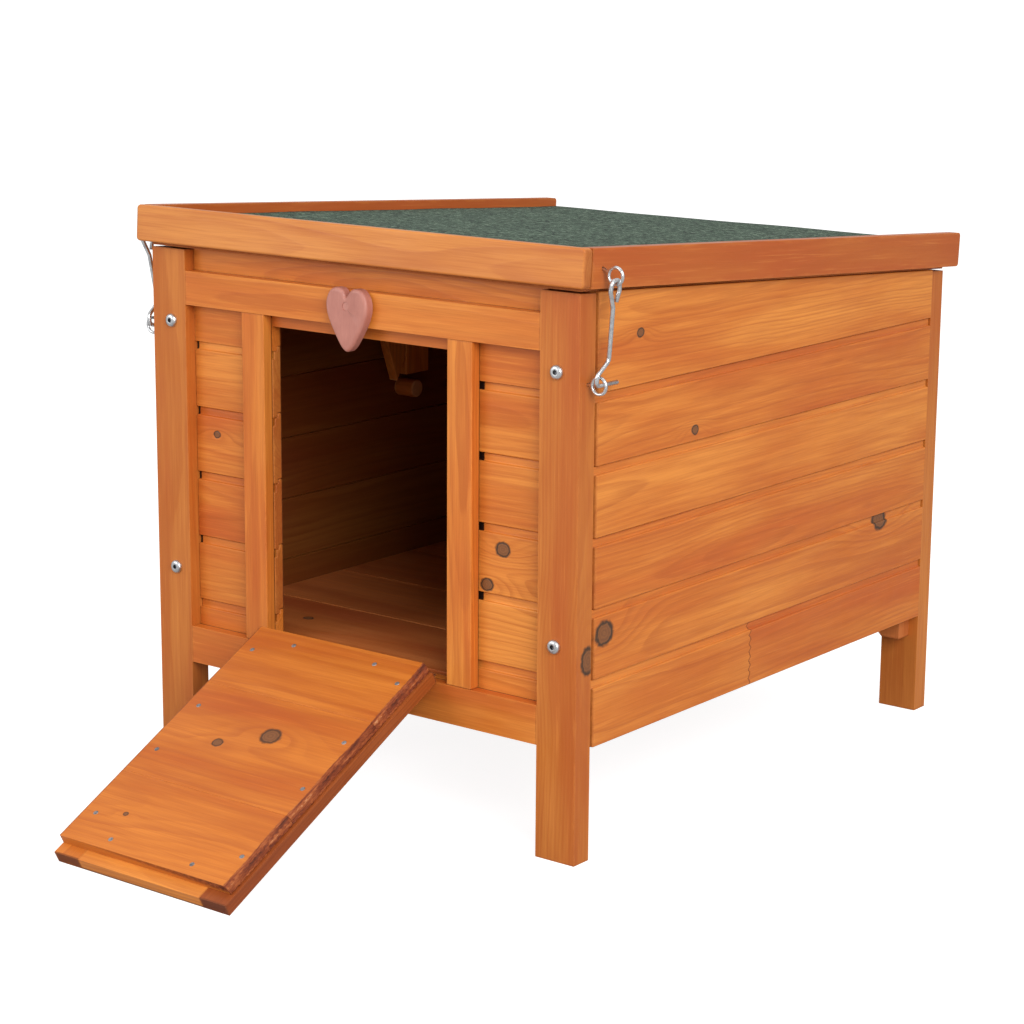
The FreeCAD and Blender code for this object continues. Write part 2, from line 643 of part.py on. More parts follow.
# --- roof, laid out flat along its slope and then tilted --------------------------------------
def roof_box(x0, x1, along0, along1, height0, height1):
    """A block given in the roof's own directions."""
    flat = box(x0, x1, along0, along1, height0, height1)
    flat.rotate(Vector(0, 0, 0), Vector(1, 0, 0), -ROOF_PITCH)
    flat.translate(ROOF_ZERO)
    return flat


def rounded_roof_end(shape, direction, test):
    """Round the corners at an end of a roof trim."""
    return shape.makeFillet(TRIM_ROUND, edges_along(shape, direction, test))


trim_low = FASCIA_DROP
trim_high = FASCIA_DROP + FASCIA_HEIGHT
fascia = roof_box(-ROOF_HALF, ROOF_HALF, 0, TRIM, trim_low, trim_high)
fascia = rounded_roof_end(fascia, SLOPE, lambda p: abs(p.x) > ROOF_HALF - 1)
nodes["front_fascia"] = [one_solid(fascia)]

trim = roof_box(ROOF_HALF - TRIM, ROOF_HALF, TRIM, ROOF_LENGTH, trim_low, trim_high)
rear_limit = roof_point(ROOF_LENGTH, 0).y - 1
trim = rounded_roof_end(trim, Vector(1, 0, 0), lambda p: p.y > rear_limit)
trim = one_solid(trim.cut(upper_eye))
nodes["side_trim_right"] = [trim]
nodes["side_trim_left"] = [mirrored(trim)]

frame_start = TRIM + ROOF_AIR
frame_end = along_at(REAR_FACE)
inner = DECK_HALF - FRAME_WIDTH
prop_pivot_z = underside_z(PROP_Y) + FRAME_HEIGHT * 0.45
prop_screw_tip = Vector(-inner - PROP_SCREW_BITE, PROP_Y, prop_pivot_z)
prop_head_under = Vector(-inner + PROP_THICKNESS + 2 * PROP_GAP, PROP_Y, prop_pivot_z)
prop_head_top = prop_head_under + Vector(PROP_HEAD_HEIGHT, 0, 0)
prop_screw_head = rod(prop_head_under, prop_head_top, PROP_HEAD)
prop_screw_shank = rod(prop_screw_tip, prop_head_top, PROP_SCREW)
prop_screw = one_solid(prop_screw_head.fuse(prop_screw_shank).removeSplitter())
nodes["prop_pivot_screw"] = [prop_screw]

upper_leaves = []
upper_screws = []
leaf_up = NORMAL * ROOF_HINGE_LEAF_UP
pin_offset = (roof_pin - roof_point(frame_end, 0)).dot(SLOPE)
for x in roof_hinge_xs:
    leaf = butt_hinge(x, roof_pin, leaf_up, SLOPE * -pin_offset, SLOPE * LEAF, False)
    for offset in screw_offsets:
        point = roof_point(frame_end + LEAF, ROOF_HINGE_LEAF_UP * 0.6, x + offset)
        screw = countersunk_screw(point, SLOPE * -1)
        upper_screws.append(screw)
        leaf = leaf.cut(screw)
    upper_leaves.append(one_solid(leaf))
nodes["roof_hinge_upper_leaves"] = upper_leaves
nodes["roof_hinge_upper_screws"] = upper_screws
nodes["roof_hinge_pins"] = [hinge_pin(x, roof_pin) for x in roof_hinge_xs]

front_batten = roof_box(-DECK_HALF, DECK_HALF, frame_start, frame_start + FRAME_WIDTH, 0, FRAME_HEIGHT)
rear_batten = roof_box(-DECK_HALF, DECK_HALF, frame_end - FRAME_WIDTH, frame_end, 0, FRAME_HEIGHT)
side_batten = roof_box(
    inner, DECK_HALF, frame_start + FRAME_WIDTH, frame_end - FRAME_WIDTH, 0, FRAME_HEIGHT
)
rear_batten = one_solid(cut_all(rear_batten, upper_screws))
left_batten = one_solid(mirrored(side_batten).cut(prop_screw))
nodes["roof_frame"] = [front_batten, rear_batten, side_batten, left_batten]
deck_high = FRAME_HEIGHT + DECK_THICKNESS
deck_end = ROOF_LENGTH - DECK_SETBACK
felt_high = deck_high + FELT_THICKNESS
deck = roof_box(-DECK_HALF, DECK_HALF, frame_start, deck_end, FRAME_HEIGHT, deck_high)
felt = roof_box(-DECK_HALF, DECK_HALF, frame_start, deck_end + FELT_OVERRUN, deck_high, felt_high)
nodes["roof_deck"] = [deck]
nodes["roof_felt"] = [felt]

# --- prop arm inside the left wall -------------------------------------------------------------
prop_x = -inner + PROP_GAP
outline = [
    (PROP_Y - PROP_TOP_RADIUS, prop_pivot_z + 0.5),
    (PROP_Y - 11.0, PROP_SHOULDER_Z),
    (PROP_Y - 15.0, PROP_FLARE_Z),
    (242.5, 312.0),
    (243.5, 304.0),
    (255.8, PROP_TOOTH_Z),
    (264.5, 287.0),
    (267.3, PROP_NOTCH_Z),
    (267.3, PROP_FOOT_Z),
    (296.8, PROP_FOOT_Z),
    (296.8, PROP_FLARE_Z),
    (PROP_Y + 15.0, PROP_SHOULDER_Z),
    (PROP_Y + PROP_TOP_RADIUS, prop_pivot_z + 0.5),
]
blade = prism([Vector(prop_x, y, z) for y, z in outline], Vector(PROP_THICKNESS, 0, 0))
crown = Part.makeCylinder(
    PROP_TOP_RADIUS, PROP_THICKNESS, Vector(prop_x, PROP_Y, prop_pivot_z + 0.5), Vector(1, 0, 0)
)
prop_hole = Part.makeCylinder(
    PROP_BORE, PROP_THICKNESS + 2, Vector(prop_x - 1, PROP_Y, prop_pivot_z), Vector(1, 0, 0)
)
nodes["prop_arm"] = [one_solid(blade.fuse(crown).cut(prop_hole).removeSplitter())]


# --- heart-shaped turn button -------------------------------------------------------------------
def heart_outline():
    """Smooth heart in the X-Z plane, tip down: HEART_SHAPE is its right side from notch to tip."""
    half = HEART_WIDTH / 2
    unit = HEART_HEIGHT / HEART_SHAPE[-1][1]
    top = HEART_Z + HEART_ABOVE
    right = [Vector(HEART_X + x * half, 0, top - drop * unit) for x, drop in HEART_SHAPE]
    left = [Vector(HEART_X - x * half, 0, top - drop * unit) for x, drop in HEART_SHAPE[1:-1]]
    curve = Part.BSplineCurve()
    curve.interpolate(Points=right + left[::-1], PeriodicFlag=True)
    return Part.Wire(curve.toShape())


heart = Part.Face(heart_outline()).extrude(Vector(0, -HEART_THICKNESS, 0))
heart.translate(Vector(0, -HEART_GAP, 0))
rims = [
    edge
    for edge in heart.Edges
    if edge.BoundBox.YLength < 0.01 and abs(edge.CenterOfMass.y - heart_face) < 0.1
]
heart = heart.makeFillet(HEART_EDGE, rims)
heart_bore = rod(Vector(HEART_X, heart_face - 1, HEART_Z), Vector(HEART_X, 1, HEART_Z), HEART_BORE)
head_room = HEART_SCREW_HEAD + HEART_SCREW_ROOM
sink = rod(Vector(HEART_X, heart_face - 1, HEART_Z), heart_screw_top, head_room)
cone_room = Part.makeCone(head_room, HEART_BORE, HEART_SCREW_CONE, heart_screw_top, Vector(0, 1, 0))
nodes["heart_button"] = [one_solid(cut_all(heart, [heart_bore, sink, cone_room]))]


# --- ramp, made shut and then lowered ----------------------------------------------------------
frame_low = RAMP_SHUT_BOTTOM
frame_high = RAMP_SHUT_TOP
stile_left = box(RAMP_LEFT, RAMP_LEFT + RAMP_MEMBER, 0, RAMP_FRAME, frame_low, frame_high)
stile_right = box(RAMP_RIGHT - RAMP_MEMBER, RAMP_RIGHT, 0, RAMP_FRAME, frame_low, frame_high)
rail_x0 = RAMP_LEFT + RAMP_MEMBER
rail_x1 = RAMP_RIGHT - RAMP_MEMBER
hinge_rail = box(rail_x0, rail_x1, 0, RAMP_FRAME, frame_low, frame_low + RAMP_MEMBER)
free_rail = box(rail_x0, rail_x1, 0, RAMP_FRAME, frame_high - RAMP_MEMBER, frame_high)

nail_y = RAMP_FRAME + RAMP_BOARD
nail_spots = []
for row in NAIL_ROWS:
    nail_spots += [(RAMP_LEFT + RAMP_MEMBER / 2, row), (RAMP_RIGHT - RAMP_MEMBER / 2, row)]
for row in NAIL_END_ROWS:
    nail_spots += [(RAMP_LEFT + NAIL_END_SETBACK, row), (RAMP_RIGHT - NAIL_END_SETBACK, row)]
nails = [nail(Vector(x, nail_y, frame_low + row), Vector(0, -1, 0)) for x, row in nail_spots]

door_leaves = []
door_screws = []
for x in hinge_xs:
    leaf = butt_hinge(x, ramp_pin, leaf_run, Vector(0, 0, 0), Vector(0, 0, LEAF), False)
    for offset in screw_offsets:
        point = Vector(x + offset, DOOR_SCREW_Y, RAMP_HINGE_Z)
        screw = countersunk_screw(point, Vector(0, 0, 1))
        door_screws.append(screw)
        leaf = leaf.cut(screw)
    door_leaves.append(one_solid(leaf))

frame_tools = nails + door_screws + knuckle_room
boards = []
z0 = frame_low
for length in RAMP_BOARD_LENGTHS:
    z1 = z0 + length - RAMP_BOARD_GAP
    board = box(RAMP_LEFT, RAMP_RIGHT - RAMP_BOARD_SET, RAMP_FRAME, nail_y, z0, z1)
    boards.append(one_solid(cut_all(board, nails)))
    z0 += length

ramp_pieces = {
    "ramp_stile_left": [one_solid(cut_all(stile_left, frame_tools))],
    "ramp_stile_right": [one_solid(cut_all(stile_right, frame_tools))],
    "ramp_hinge_rail": [one_solid(cut_all(hinge_rail, frame_tools))],
    "ramp_free_rail": [one_solid(cut_all(free_rail, frame_tools))],
    "ramp_board_hinge_end": [boards[0]],
    "ramp_board_middle": [boards[1]],
    "ramp_board_free_end": [boards[2]],
    "ramp_nails": nails,
    "ramp_hinge_door_leaves": door_leaves,
    "ramp_hinge_door_screws": door_screws,
    "ramp_hinge_pins": [hinge_pin(x, ramp_pin) for x in hinge_xs],
}
for name, pieces in ramp_pieces.items():
    nodes[name] = [ramp_rest(piece) for piece in pieces]

# --- export ------------------------------------------------------------------------------------
front_limit = min(solid.BoundBox.YMin for name in ramp_pieces for solid in nodes[name])
rear_edge = max(solid.BoundBox.YMax for name in ("side_trim_left", "roof_felt") for solid in nodes[name])
shift = Vector(0, -(front_limit + rear_edge) / 2, 0)

os.makedirs("parts", exist_ok=True)
for name, solids in nodes.items():
    moved = []
    for solid in solids:
        copy = solid.copy()
        copy.translate(shift)
        if not copy.isValid():
            raise ValueError(f"{name} is not a valid solid")
        moved.append(copy)
    shape = moved[0] if len(moved) == 1 else Part.makeCompound(moved)
    shape.exportStep(f"parts/{name}.step")

print(f"{len(nodes)} nodes, front to rear {rear_edge - front_limit:.2f} mm")
print(f"shift {shift.y:.3f}")
for label, point in (
    ("roof hinge", roof_pin),
    ("ramp hinge", ramp_pin),
    ("hook pivot", hook_pivot),
    ("heart pivot", Vector(HEART_X, 0, HEART_Z)),
    ("prop pivot", Vector(prop_x, PROP_Y, prop_pivot_z)),
):
    place = point + shift
    print(f"{label}: {place.x:.3f} {place.y:.3f} {place.z:.3f}")
print(f"ramp swing {RAMP_SWING:.3f} degrees, prop centre of mass y {nodes['prop_arm'][0].CenterOfMass.y:.2f}")
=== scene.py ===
import logging
import math
import random
from collections.abc import Iterator, Sequence
from contextlib import contextmanager
from dataclasses import dataclass, field
from enum import Enum
from functools import reduce

import bmesh
import bpy
import numpy as np
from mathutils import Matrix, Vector


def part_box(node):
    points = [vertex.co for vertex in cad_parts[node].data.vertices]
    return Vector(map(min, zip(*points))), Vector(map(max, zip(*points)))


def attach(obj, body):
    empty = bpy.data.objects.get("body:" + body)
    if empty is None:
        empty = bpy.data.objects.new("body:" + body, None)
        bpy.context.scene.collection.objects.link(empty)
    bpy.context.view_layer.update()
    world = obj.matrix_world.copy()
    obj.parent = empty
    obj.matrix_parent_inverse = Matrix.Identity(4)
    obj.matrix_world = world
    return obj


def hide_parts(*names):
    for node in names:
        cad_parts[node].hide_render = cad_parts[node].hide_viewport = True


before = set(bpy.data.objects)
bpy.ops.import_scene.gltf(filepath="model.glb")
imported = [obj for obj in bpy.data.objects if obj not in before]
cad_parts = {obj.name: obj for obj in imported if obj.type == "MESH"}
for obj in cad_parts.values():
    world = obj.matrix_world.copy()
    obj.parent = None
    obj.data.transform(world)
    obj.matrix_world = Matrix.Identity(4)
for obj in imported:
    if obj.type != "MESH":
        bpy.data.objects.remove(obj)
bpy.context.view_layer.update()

ROOF_FALL = math.radians(3.8)
RAMP_FALL = math.radians(27.49)
LOG = logging.getLogger("hutch")

Colour = tuple[float, float, float, float]
Point = tuple[float, float, float]

RIGHT = (1, 0, 0)
LEFT = (-1, 0, 0)
FRONT = (0, -1, 0)
BACK = (0, 1, 0)
UP = (0, 0, 1)
DOWN_ROOF = (0, math.cos(ROOF_FALL), -math.sin(ROOF_FALL))
UP_ROOF = (0, -math.cos(ROOF_FALL), math.sin(ROOF_FALL))
OFF_ROOF = (0, math.sin(ROOF_FALL), math.cos(ROOF_FALL))
DOWN_SLOPE = (0, -math.cos(RAMP_FALL), -math.sin(RAMP_FALL))
UP_SLOPE = (0, math.cos(RAMP_FALL), math.sin(RAMP_FALL))
OFF_SLOPE = (0, -math.sin(RAMP_FALL), math.cos(RAMP_FALL))

MERGE_DISTANCE = 3e-6
EASE_STEPS = 2
EASE_OVER = math.radians(38)
KNOT_MARGIN = 0.003
FLAT_WITHIN = math.radians(0.6)
DARK_END = (0.150, 0.034, 0.009, 1.0)  # sawn ends of the ramp's wood
HEAD_FLAT = 0.35  # a plain head's flat middle, as a share of its radius
HEAD_CENTRE = 0.02
HEAD_FOOT = -0.0004
HEAD_SHRINK = 0.42  # how much narrower a dome is at its top
DOME_STEPS = (0.3, 0.6, 0.85)
NOWHERE = 9.0  # a place, in metres, that no board reaches
KNOT_INPUTS = ("Knot A", "Knot B", "Knot C")
KNOT_STORES = ("knot_a", "knot_b", "knot_c")


class Lay(Enum):
    """How a board lies: its grain, its width and the way its face looks, as unit vectors."""

    UPRIGHT = (UP, RIGHT, FRONT)
    UPRIGHT_SIDE = (UP, BACK, RIGHT)
    ACROSS_FRONT = (RIGHT, UP, FRONT)
    ACROSS_REAR = (RIGHT, UP, BACK)
    ALONG_SIDE = (BACK, UP, RIGHT)
    ALONG_LEFT_SIDE = (BACK, UP, LEFT)
    FLOOR = (RIGHT, BACK, UP)
    ROOF_SIDE = (DOWN_ROOF, OFF_ROOF, RIGHT)
    ROOF_FRONT = (RIGHT, OFF_ROOF, UP_ROOF)
    ROOF_DECK = (DOWN_ROOF, RIGHT, OFF_ROOF)
    DOWN_RAMP = (DOWN_SLOPE, RIGHT, OFF_SLOPE)
    ACROSS_RAMP = (RIGHT, DOWN_SLOPE, OFF_SLOPE)

    def matrix(self) -> np.ndarray:
        """Rows are the board's own directions."""
        return np.array(self.value, float)


class Recess(Enum):
    """What a screwdriver or key fits in a fixing's head."""

    NONE = 0
    HEX = 1
    CROSS = 2


# Meshes


def new_piece(name: str, mesh: bpy.types.Mesh) -> bpy.types.Object:
    """Put a mesh in the scene as an object of the same name.

    Args:
        name: the name of both.
        mesh: the mesh.

    Returns:
        The new object.
    """
    piece = bpy.data.objects.new(name, mesh)
    mesh.name = name
    bpy.context.scene.collection.objects.link(piece)
    return piece


def baked(piece: bpy.types.Object) -> bpy.types.Mesh:
    """The mesh that an object's modifiers make, as a plain mesh.

    Args:
        piece: the object.

    Returns:
        A mesh of its own.
    """
    bpy.context.view_layer.update()
    graph = bpy.context.evaluated_depsgraph_get()
    return bpy.data.meshes.new_from_object(piece.evaluated_get(graph), depsgraph=graph)


def apply_modifiers(piece: bpy.types.Object) -> None:
    """Replace an object's mesh with what its modifiers make, and drop them.

    Args:
        piece: the object.
    """
    mesh = baked(piece)
    old = piece.data
    piece.modifiers.clear()
    piece.data = mesh
    mesh.name = piece.name
    bpy.data.meshes.remove(old)


def coordinates(mesh: bpy.types.Mesh) -> np.ndarray:
    """All vertex positions of a mesh, one row each.

    Args:
        mesh: the mesh.

    Returns:
        Rows of x, y and z.
    """
    flat = np.empty(len(mesh.vertices) * 3)
    mesh.vertices.foreach_get("co", flat)
    return flat.reshape(-1, 3)


def loose_parts(mesh: bpy.types.Mesh) -> list[np.ndarray]:
    """Vertex numbers of each separate piece of a mesh, in a fixed order.

    Args:
        mesh: the mesh.

    Returns:
        One array for each piece.
    """
    links: list[list[int]] = [[] for _ in mesh.vertices]
    for a, b in (edge.vertices for edge in mesh.edges):
        links[a].append(b)
        links[b].append(a)
    seen = np.zeros(len(links), bool)
    found = []
    for first in range(len(links)):
        if seen[first]:
            continue
        seen[first] = True
        group = [first]
        for vertex in group:
            for other in links[vertex]:
                if not seen[other]:
                    seen[other] = True
                    group.append(other)
        found.append(np.array(group))
    points = coordinates(mesh)
    return sorted(found, key=lambda group: tuple(np.round(points[group].mean(0), 5)))


def merged_copy(node: str) -> bpy.types.Mesh:
    """A copy of a CAD node's mesh with its triangles joined and its flat faces made whole.

    Args:
        node: the node's name.

    Returns:
        The new mesh.
    """
    work = bmesh.new()
    work.from_mesh(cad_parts[node].data)
    bmesh.ops.remove_doubles(work, verts=work.verts, dist=MERGE_DISTANCE)
    bmesh.ops.dissolve_limit(work, angle_limit=FLAT_WITHIN, verts=work.verts, edges=work.edges)
    mesh = bpy.data.meshes.new(node)
    work.to_mesh(mesh)
    work.free()
    return mesh


def extent(node: str, lay: Lay) -> tuple[np.ndarray, np.ndarray]:
    """Lowest and highest corner of a CAD node, measured in a board's own directions.

    Args:
        node: the node's name.
        lay: the directions.

    Returns:
        Both corners.
    """
    points = coordinates(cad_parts[node].data) @ lay.matrix().T
    return points.min(0), points.max(0)


def set_attribute(mesh: bpy.types.Mesh, name: str, values: np.ndarray) -> None:
    """Store one number or one vector on each vertex.

    Args:
        mesh: the mesh.
        name: the attribute's name.
        values: one row or number for each vertex.
    """
    kind, key = ("FLOAT", "value") if values.ndim == 1 else ("FLOAT_VECTOR", "vector")
    layer = mesh.attributes.new(name, kind, "POINT")
    layer.data.foreach_set(key, values.astype(np.float32).ravel())


@contextmanager
def reshaped(mesh: bpy.types.Mesh) -> Iterator[bmesh.types.BMesh]:
    """Open a mesh for reshaping and write it back afterwards.

    Args:
        mesh: the mesh.

    Yields:
        Its editable form.
    """
    work = bmesh.new()
    work.from_mesh(mesh)
    yield work
    work.to_mesh(mesh)
    work.free()


def ring_mesh(name: str, rings: Sequence[np.ndarray], cap_start: bool, cap_end: bool) -> bpy.types.Mesh:
    """Skin closed rings of equal length, one after another.

    Args:
        name: the mesh's name.
        rings: rows of points, each ring going the same way round.
        cap_start: close the first ring with one face.
        cap_end: close the last ring with one face.

    Returns:
        A mesh with outward faces.
    """
    count = len(rings[0])
    points = [tuple(point) for ring in rings for point in ring]
    faces: list[tuple[int, ...]] = []
    for row in range(len(rings) - 1):
        for step in range(count):
            after = (step + 1) % count
            here, there = row * count, (row + 1) * count
            faces.append((here + step, here + after, there + after, there + step))
    if cap_start:
        faces.append(tuple(range(count))[::-1])
    if cap_end:
        faces.append(tuple((len(rings) - 1) * count + step for step in range(count)))
    mesh = bpy.data.meshes.new(name)
    mesh.from_pydata(points, [], faces)
    with reshaped(mesh) as work:
        bmesh.ops.recalc_face_normals(work, faces=work.faces)
    return mesh


# Node trees


class Net:
    """Short calls for wiring the nodes of one tree."""

    def __init__(self, tree: bpy.types.NodeTree) -> None:
        """Work on one tree."""
        self.tree = tree

    def node(self, kind: str, **settings: object) -> bpy.types.Node:
        """Add a node and set its properties.

        Args:
            kind: the node's type.
            settings: its properties.

        Returns:
            The node.
        """
        made = self.tree.nodes.new(kind)
        for key, value in settings.items():
            setattr(made, key, value)
        return made

    def put(self, socket: bpy.types.NodeSocket, value: object) -> None:
        """Feed an input from another socket, or set its own value.

        Args:
            socket: the input.
            value: a socket or a plain value.
        """
        if isinstance(value, bpy.types.NodeSocket):
            self.tree.links.new(value, socket)
        else:
            socket.default_value = value

    def math(self, operation: str, *values: object, clamp: bool = False) -> bpy.types.NodeSocket:
        """One step of arithmetic on numbers.

        Args:
            operation: the step's name.
            values: sockets or numbers.
            clamp: keep the result between 0 and 1.

        Returns:
            The result.
        """
        made = self.node("ShaderNodeMath", operation=operation, use_clamp=clamp)
        for socket, value in zip(made.inputs, values):
            self.put(socket, value)
        return made.outputs[0]

    def times(self, *values: object) -> bpy.types.NodeSocket:
        """The product of all values, taken from the left."""
        return reduce(lambda a, b: self.math("MULTIPLY", a, b), values)

    def plus(self, *values: object) -> bpy.types.NodeSocket:
        """The sum of all values, taken from the left."""
        return reduce(lambda a, b: self.math("ADD", a, b), values)

    def minus(self, a: object, b: object) -> bpy.types.NodeSocket:
        """The difference of two values."""
        return self.math("SUBTRACT", a, b)

    def largest(self, values: Sequence[object]) -> bpy.types.NodeSocket:
        """The largest of some values."""
        return reduce(lambda a, b: self.math("MAXIMUM", a, b), values)

    def scaled(self, value: object, scale: float, base: object, clamp: bool = False) -> bpy.types.NodeSocket:
        """A value times a scale, added to a base."""
        return self.math("MULTIPLY_ADD", value, scale, base, clamp=clamp)

    def split(self, vector: object) -> bpy.types.NodeOutputs:
        """The three numbers of a vector.

        Args:
            vector: the vector.

        Returns:
            Three outputs.
        """
        made = self.node("ShaderNodeSeparateXYZ")
        self.put(made.inputs[0], vector)
        return made.outputs

    def here(self) -> bpy.types.NodeSocket:
        """The shaded point, in the piece's own coordinates."""
        return self.node("ShaderNodeTexCoord").outputs["Object"]

    def vector(self, operation: str, *values: object) -> bpy.types.NodeSocket:
        """One step of arithmetic on vectors.

        Args:
            operation: the step's name.
            values: sockets or vectors.

        Returns:
            The result.
        """
        made = self.node("ShaderNodeVectorMath", operation=operation)
        for socket, value in zip(made.inputs, values):
            self.put(socket, value)
        return made.outputs["Value" if operation in ("LENGTH", "DOT_PRODUCT") else "Vector"]

    def noise(self, at: object, stretch: Point, detail: float = 2.0, rough: float = 0.5) -> bpy.types.Node:
        """Noise whose grain is stretched along some directions.

        Args:
            at: where it is read.
            stretch: how quickly it changes along each direction.
            detail: how many finer layers it has.
            rough: how strong they are.

        Returns:
            The noise node.
        """
        made = self.node("ShaderNodeTexNoise")
        self.put(made.inputs["Vector"], self.vector("MULTIPLY", at, stretch))
        made.inputs["Scale"].default_value = 1.0
        made.inputs["Detail"].default_value = detail
        made.inputs["Roughness"].default_value = rough
        return made

    def range(
        self, value: object, low: float, high: float, to: tuple[float, float] = (0.0, 1.0)
    ) -> bpy.types.NodeSocket:
        """Map a range of numbers to another, smoothly and clamped.

        Args:
            value: the number.
            low: where the range starts.
            high: where it ends.
            to: what the two ends become.

        Returns:
            The mapped number.
        """
        made = self.node("ShaderNodeMapRange", interpolation_type="SMOOTHSTEP")
        for socket, number in zip(made.inputs, (value, low, high, *to)):
            self.put(socket, number)
        return made.outputs[0]

    def ramp(self, value: object, stops: Sequence[tuple[float, Colour]]) -> bpy.types.NodeSocket:
        """Colours along a value.

        Args:
            value: the number.
            stops: positions and colours.

        Returns:
            The colour.
        """
        made = self.node("ShaderNodeValToRGB")
        self.put(made.inputs[0], value)
        elements = made.color_ramp.elements
        while len(elements) < len(stops):
            elements.new(0.5)
        for element, (position, colour) in zip(elements, stops):
            element.position = position
            element.color = colour
        return made.outputs[0]

    def blend(self, factor: object, a: object, b: object, mode: str = "MIX") -> bpy.types.NodeSocket:
        """Mix two colours.

        Args:
            factor: how much of the second.
            a: the first.
            b: the second.
            mode: how they are mixed.

        Returns:
            The colour.
        """
        made = self.node("ShaderNodeMix", data_type="RGBA", blend_type=mode)
        self.put(made.inputs[0], factor)
        self.put(made.inputs[6], a)
        self.put(made.inputs[7], b)
        return made.outputs[2]

    def attribute(self, name: str, output: str = "Vector") -> bpy.types.NodeSocket:
        """Read what a mesh stores on its vertices."""
        return self.node("ShaderNodeAttribute", attribute_name=name).outputs[output]

    def group(self, tree: bpy.types.NodeTree, **values: object) -> bpy.types.Node:
        """Place a shared group with its own values.

        Args:
            tree: the group.
            values: its inputs, given with underscores for spaces.

        Returns:
            The group's node.
        """
        made = self.node("ShaderNodeGroup")
        made.node_tree = tree
        for key, value in values.items():
            self.put(made.inputs[key.replace("_", " ")], value)
        return made


def group_tree(
    name: str, inputs: Sequence[tuple[str, str]], outputs: Sequence[tuple[str, str]]
) -> bpy.types.NodeTree:
    """Start a shader node group.

    Args:
        name: the group's name.
        inputs: names and kinds (Float, Vector or Color) of its inputs.
        outputs: names and kinds of its outputs.

    Returns:
        The empty group.
    """
    tree = bpy.data.node_groups.new(name, "ShaderNodeTree")
    for way, sockets in (("INPUT", inputs), ("OUTPUT", outputs)):
        for title, kind in sockets:
            tree.interface.new_socket(name=title, in_out=way, socket_type=f"NodeSocket{kind}")
    return tree


def inside(tree: bpy.types.NodeTree) -> tuple[Net, bpy.types.NodeOutputs, bpy.types.NodeInputs]:
    """Wiring for a group's inside.

    Args:
        tree: the group.

    Returns:
        The wiring, what the group is given and what it puts out.
    """
    net = Net(tree)
    return net, net.node("NodeGroupInput").outputs, net.node("NodeGroupOutput").inputs


@dataclass(frozen=True)
class KnotShape:
    """How a knot sits in a board's face; shares are of its radius."""

    least_radius: float = 1e-5
    wobble_scale: Point = (230.0, 230.0, 230.0)
    wobble: float = 0.5
    push_stretch: float = 0.36
    push_reach: float = 2.1
    push_height: float = 1.9
    stretch: float = 0.82
    ring_pace: float = 19.0
    depth: tuple[float, float] = (0.011, 0.007)
    rim: tuple[float, float] = (1.06, 0.92)
    collar_inner: tuple[float, float] = (0.70, 0.92)
    collar_outer: tuple[float, float] = (1.30, 0.98)


@dataclass(frozen=True)
class JointShape:
    """A finger joint's teeth and its glue line, in metres."""

    tooth: float = 0.0034
    slope: float = 0.8
    ragged: float = 0.003
    line: tuple[float, float] = (0.0010, 0.0003)


@dataclass(frozen=True)
class GrooveShape:
    """The painted shade at the end of a step, in metres: up from its foot, in from its face, and along."""

    height: tuple[float, float] = (0.0098, 0.0092)
    depth: tuple[float, float] = (0.0012, 0.0018)
    length: tuple[float, float] = (0.0030, 0.0020)


def knot_group(shape: KnotShape = KnotShape()) -> bpy.types.NodeTree:
    """One knot: how far it pushes the rings aside, where it is, its own rings and its dark collar.

    Args:
        shape: how it sits in the board.

    Returns:
        The group.
    """
    tree = group_tree(
        "Knot",
        [("Local", "Vector"), ("Half", "Vector"), ("Knot", "Vector")],
        [("Push", "Float"), ("Mask", "Float"), ("Rings", "Float"), ("Collar", "Float")],
    )
    net, given, result = inside(tree)
    local = given["Local"]
    place = net.split(given["Knot"])
    point = net.split(local)
    radius = net.math("MAXIMUM", place[2], shape.least_radius)
    along = net.minus(point[0], place[0])
    across = net.minus(point[1], place[1])
    wobble = net.noise(local, shape.wobble_scale, 3.0).outputs[0]
    across_squared = net.times(across, across)
    far = net.times(along, shape.push_stretch)
    wide = net.math("SQRT", net.plus(net.times(far, far), across_squared))
    reach = net.math("DIVIDE", wide, net.times(radius, shape.push_reach))
    fade = net.math("EXPONENT", net.times(net.times(reach, reach), -1.0))
    net.put(result["Push"], net.times(fade, net.times(radius, shape.push_height)))
    near = net.times(along, shape.stretch)
    close = net.math("SQRT", net.plus(net.times(near, near), across_squared))
    ratio = net.math("DIVIDE", close, radius)
    ratio = net.plus(ratio, net.times(net.minus(wobble, 0.5), shape.wobble))
    depth = net.split(net.vector("SUBTRACT", given["Half"], local))
    shown = net.range(depth[2], *shape.depth)
    net.put(result["Mask"], net.times(net.range(ratio, *shape.rim), shown))
    net.put(result["Rings"], net.scaled(net.math("SINE", net.times(ratio, shape.ring_pace)), 0.5, 0.5))
    inner = net.range(ratio, *shape.collar_inner)
    outer = net.range(ratio, *shape.collar_outer)
    net.put(result["Collar"], net.times(net.times(inner, outer), shown))
    return tree


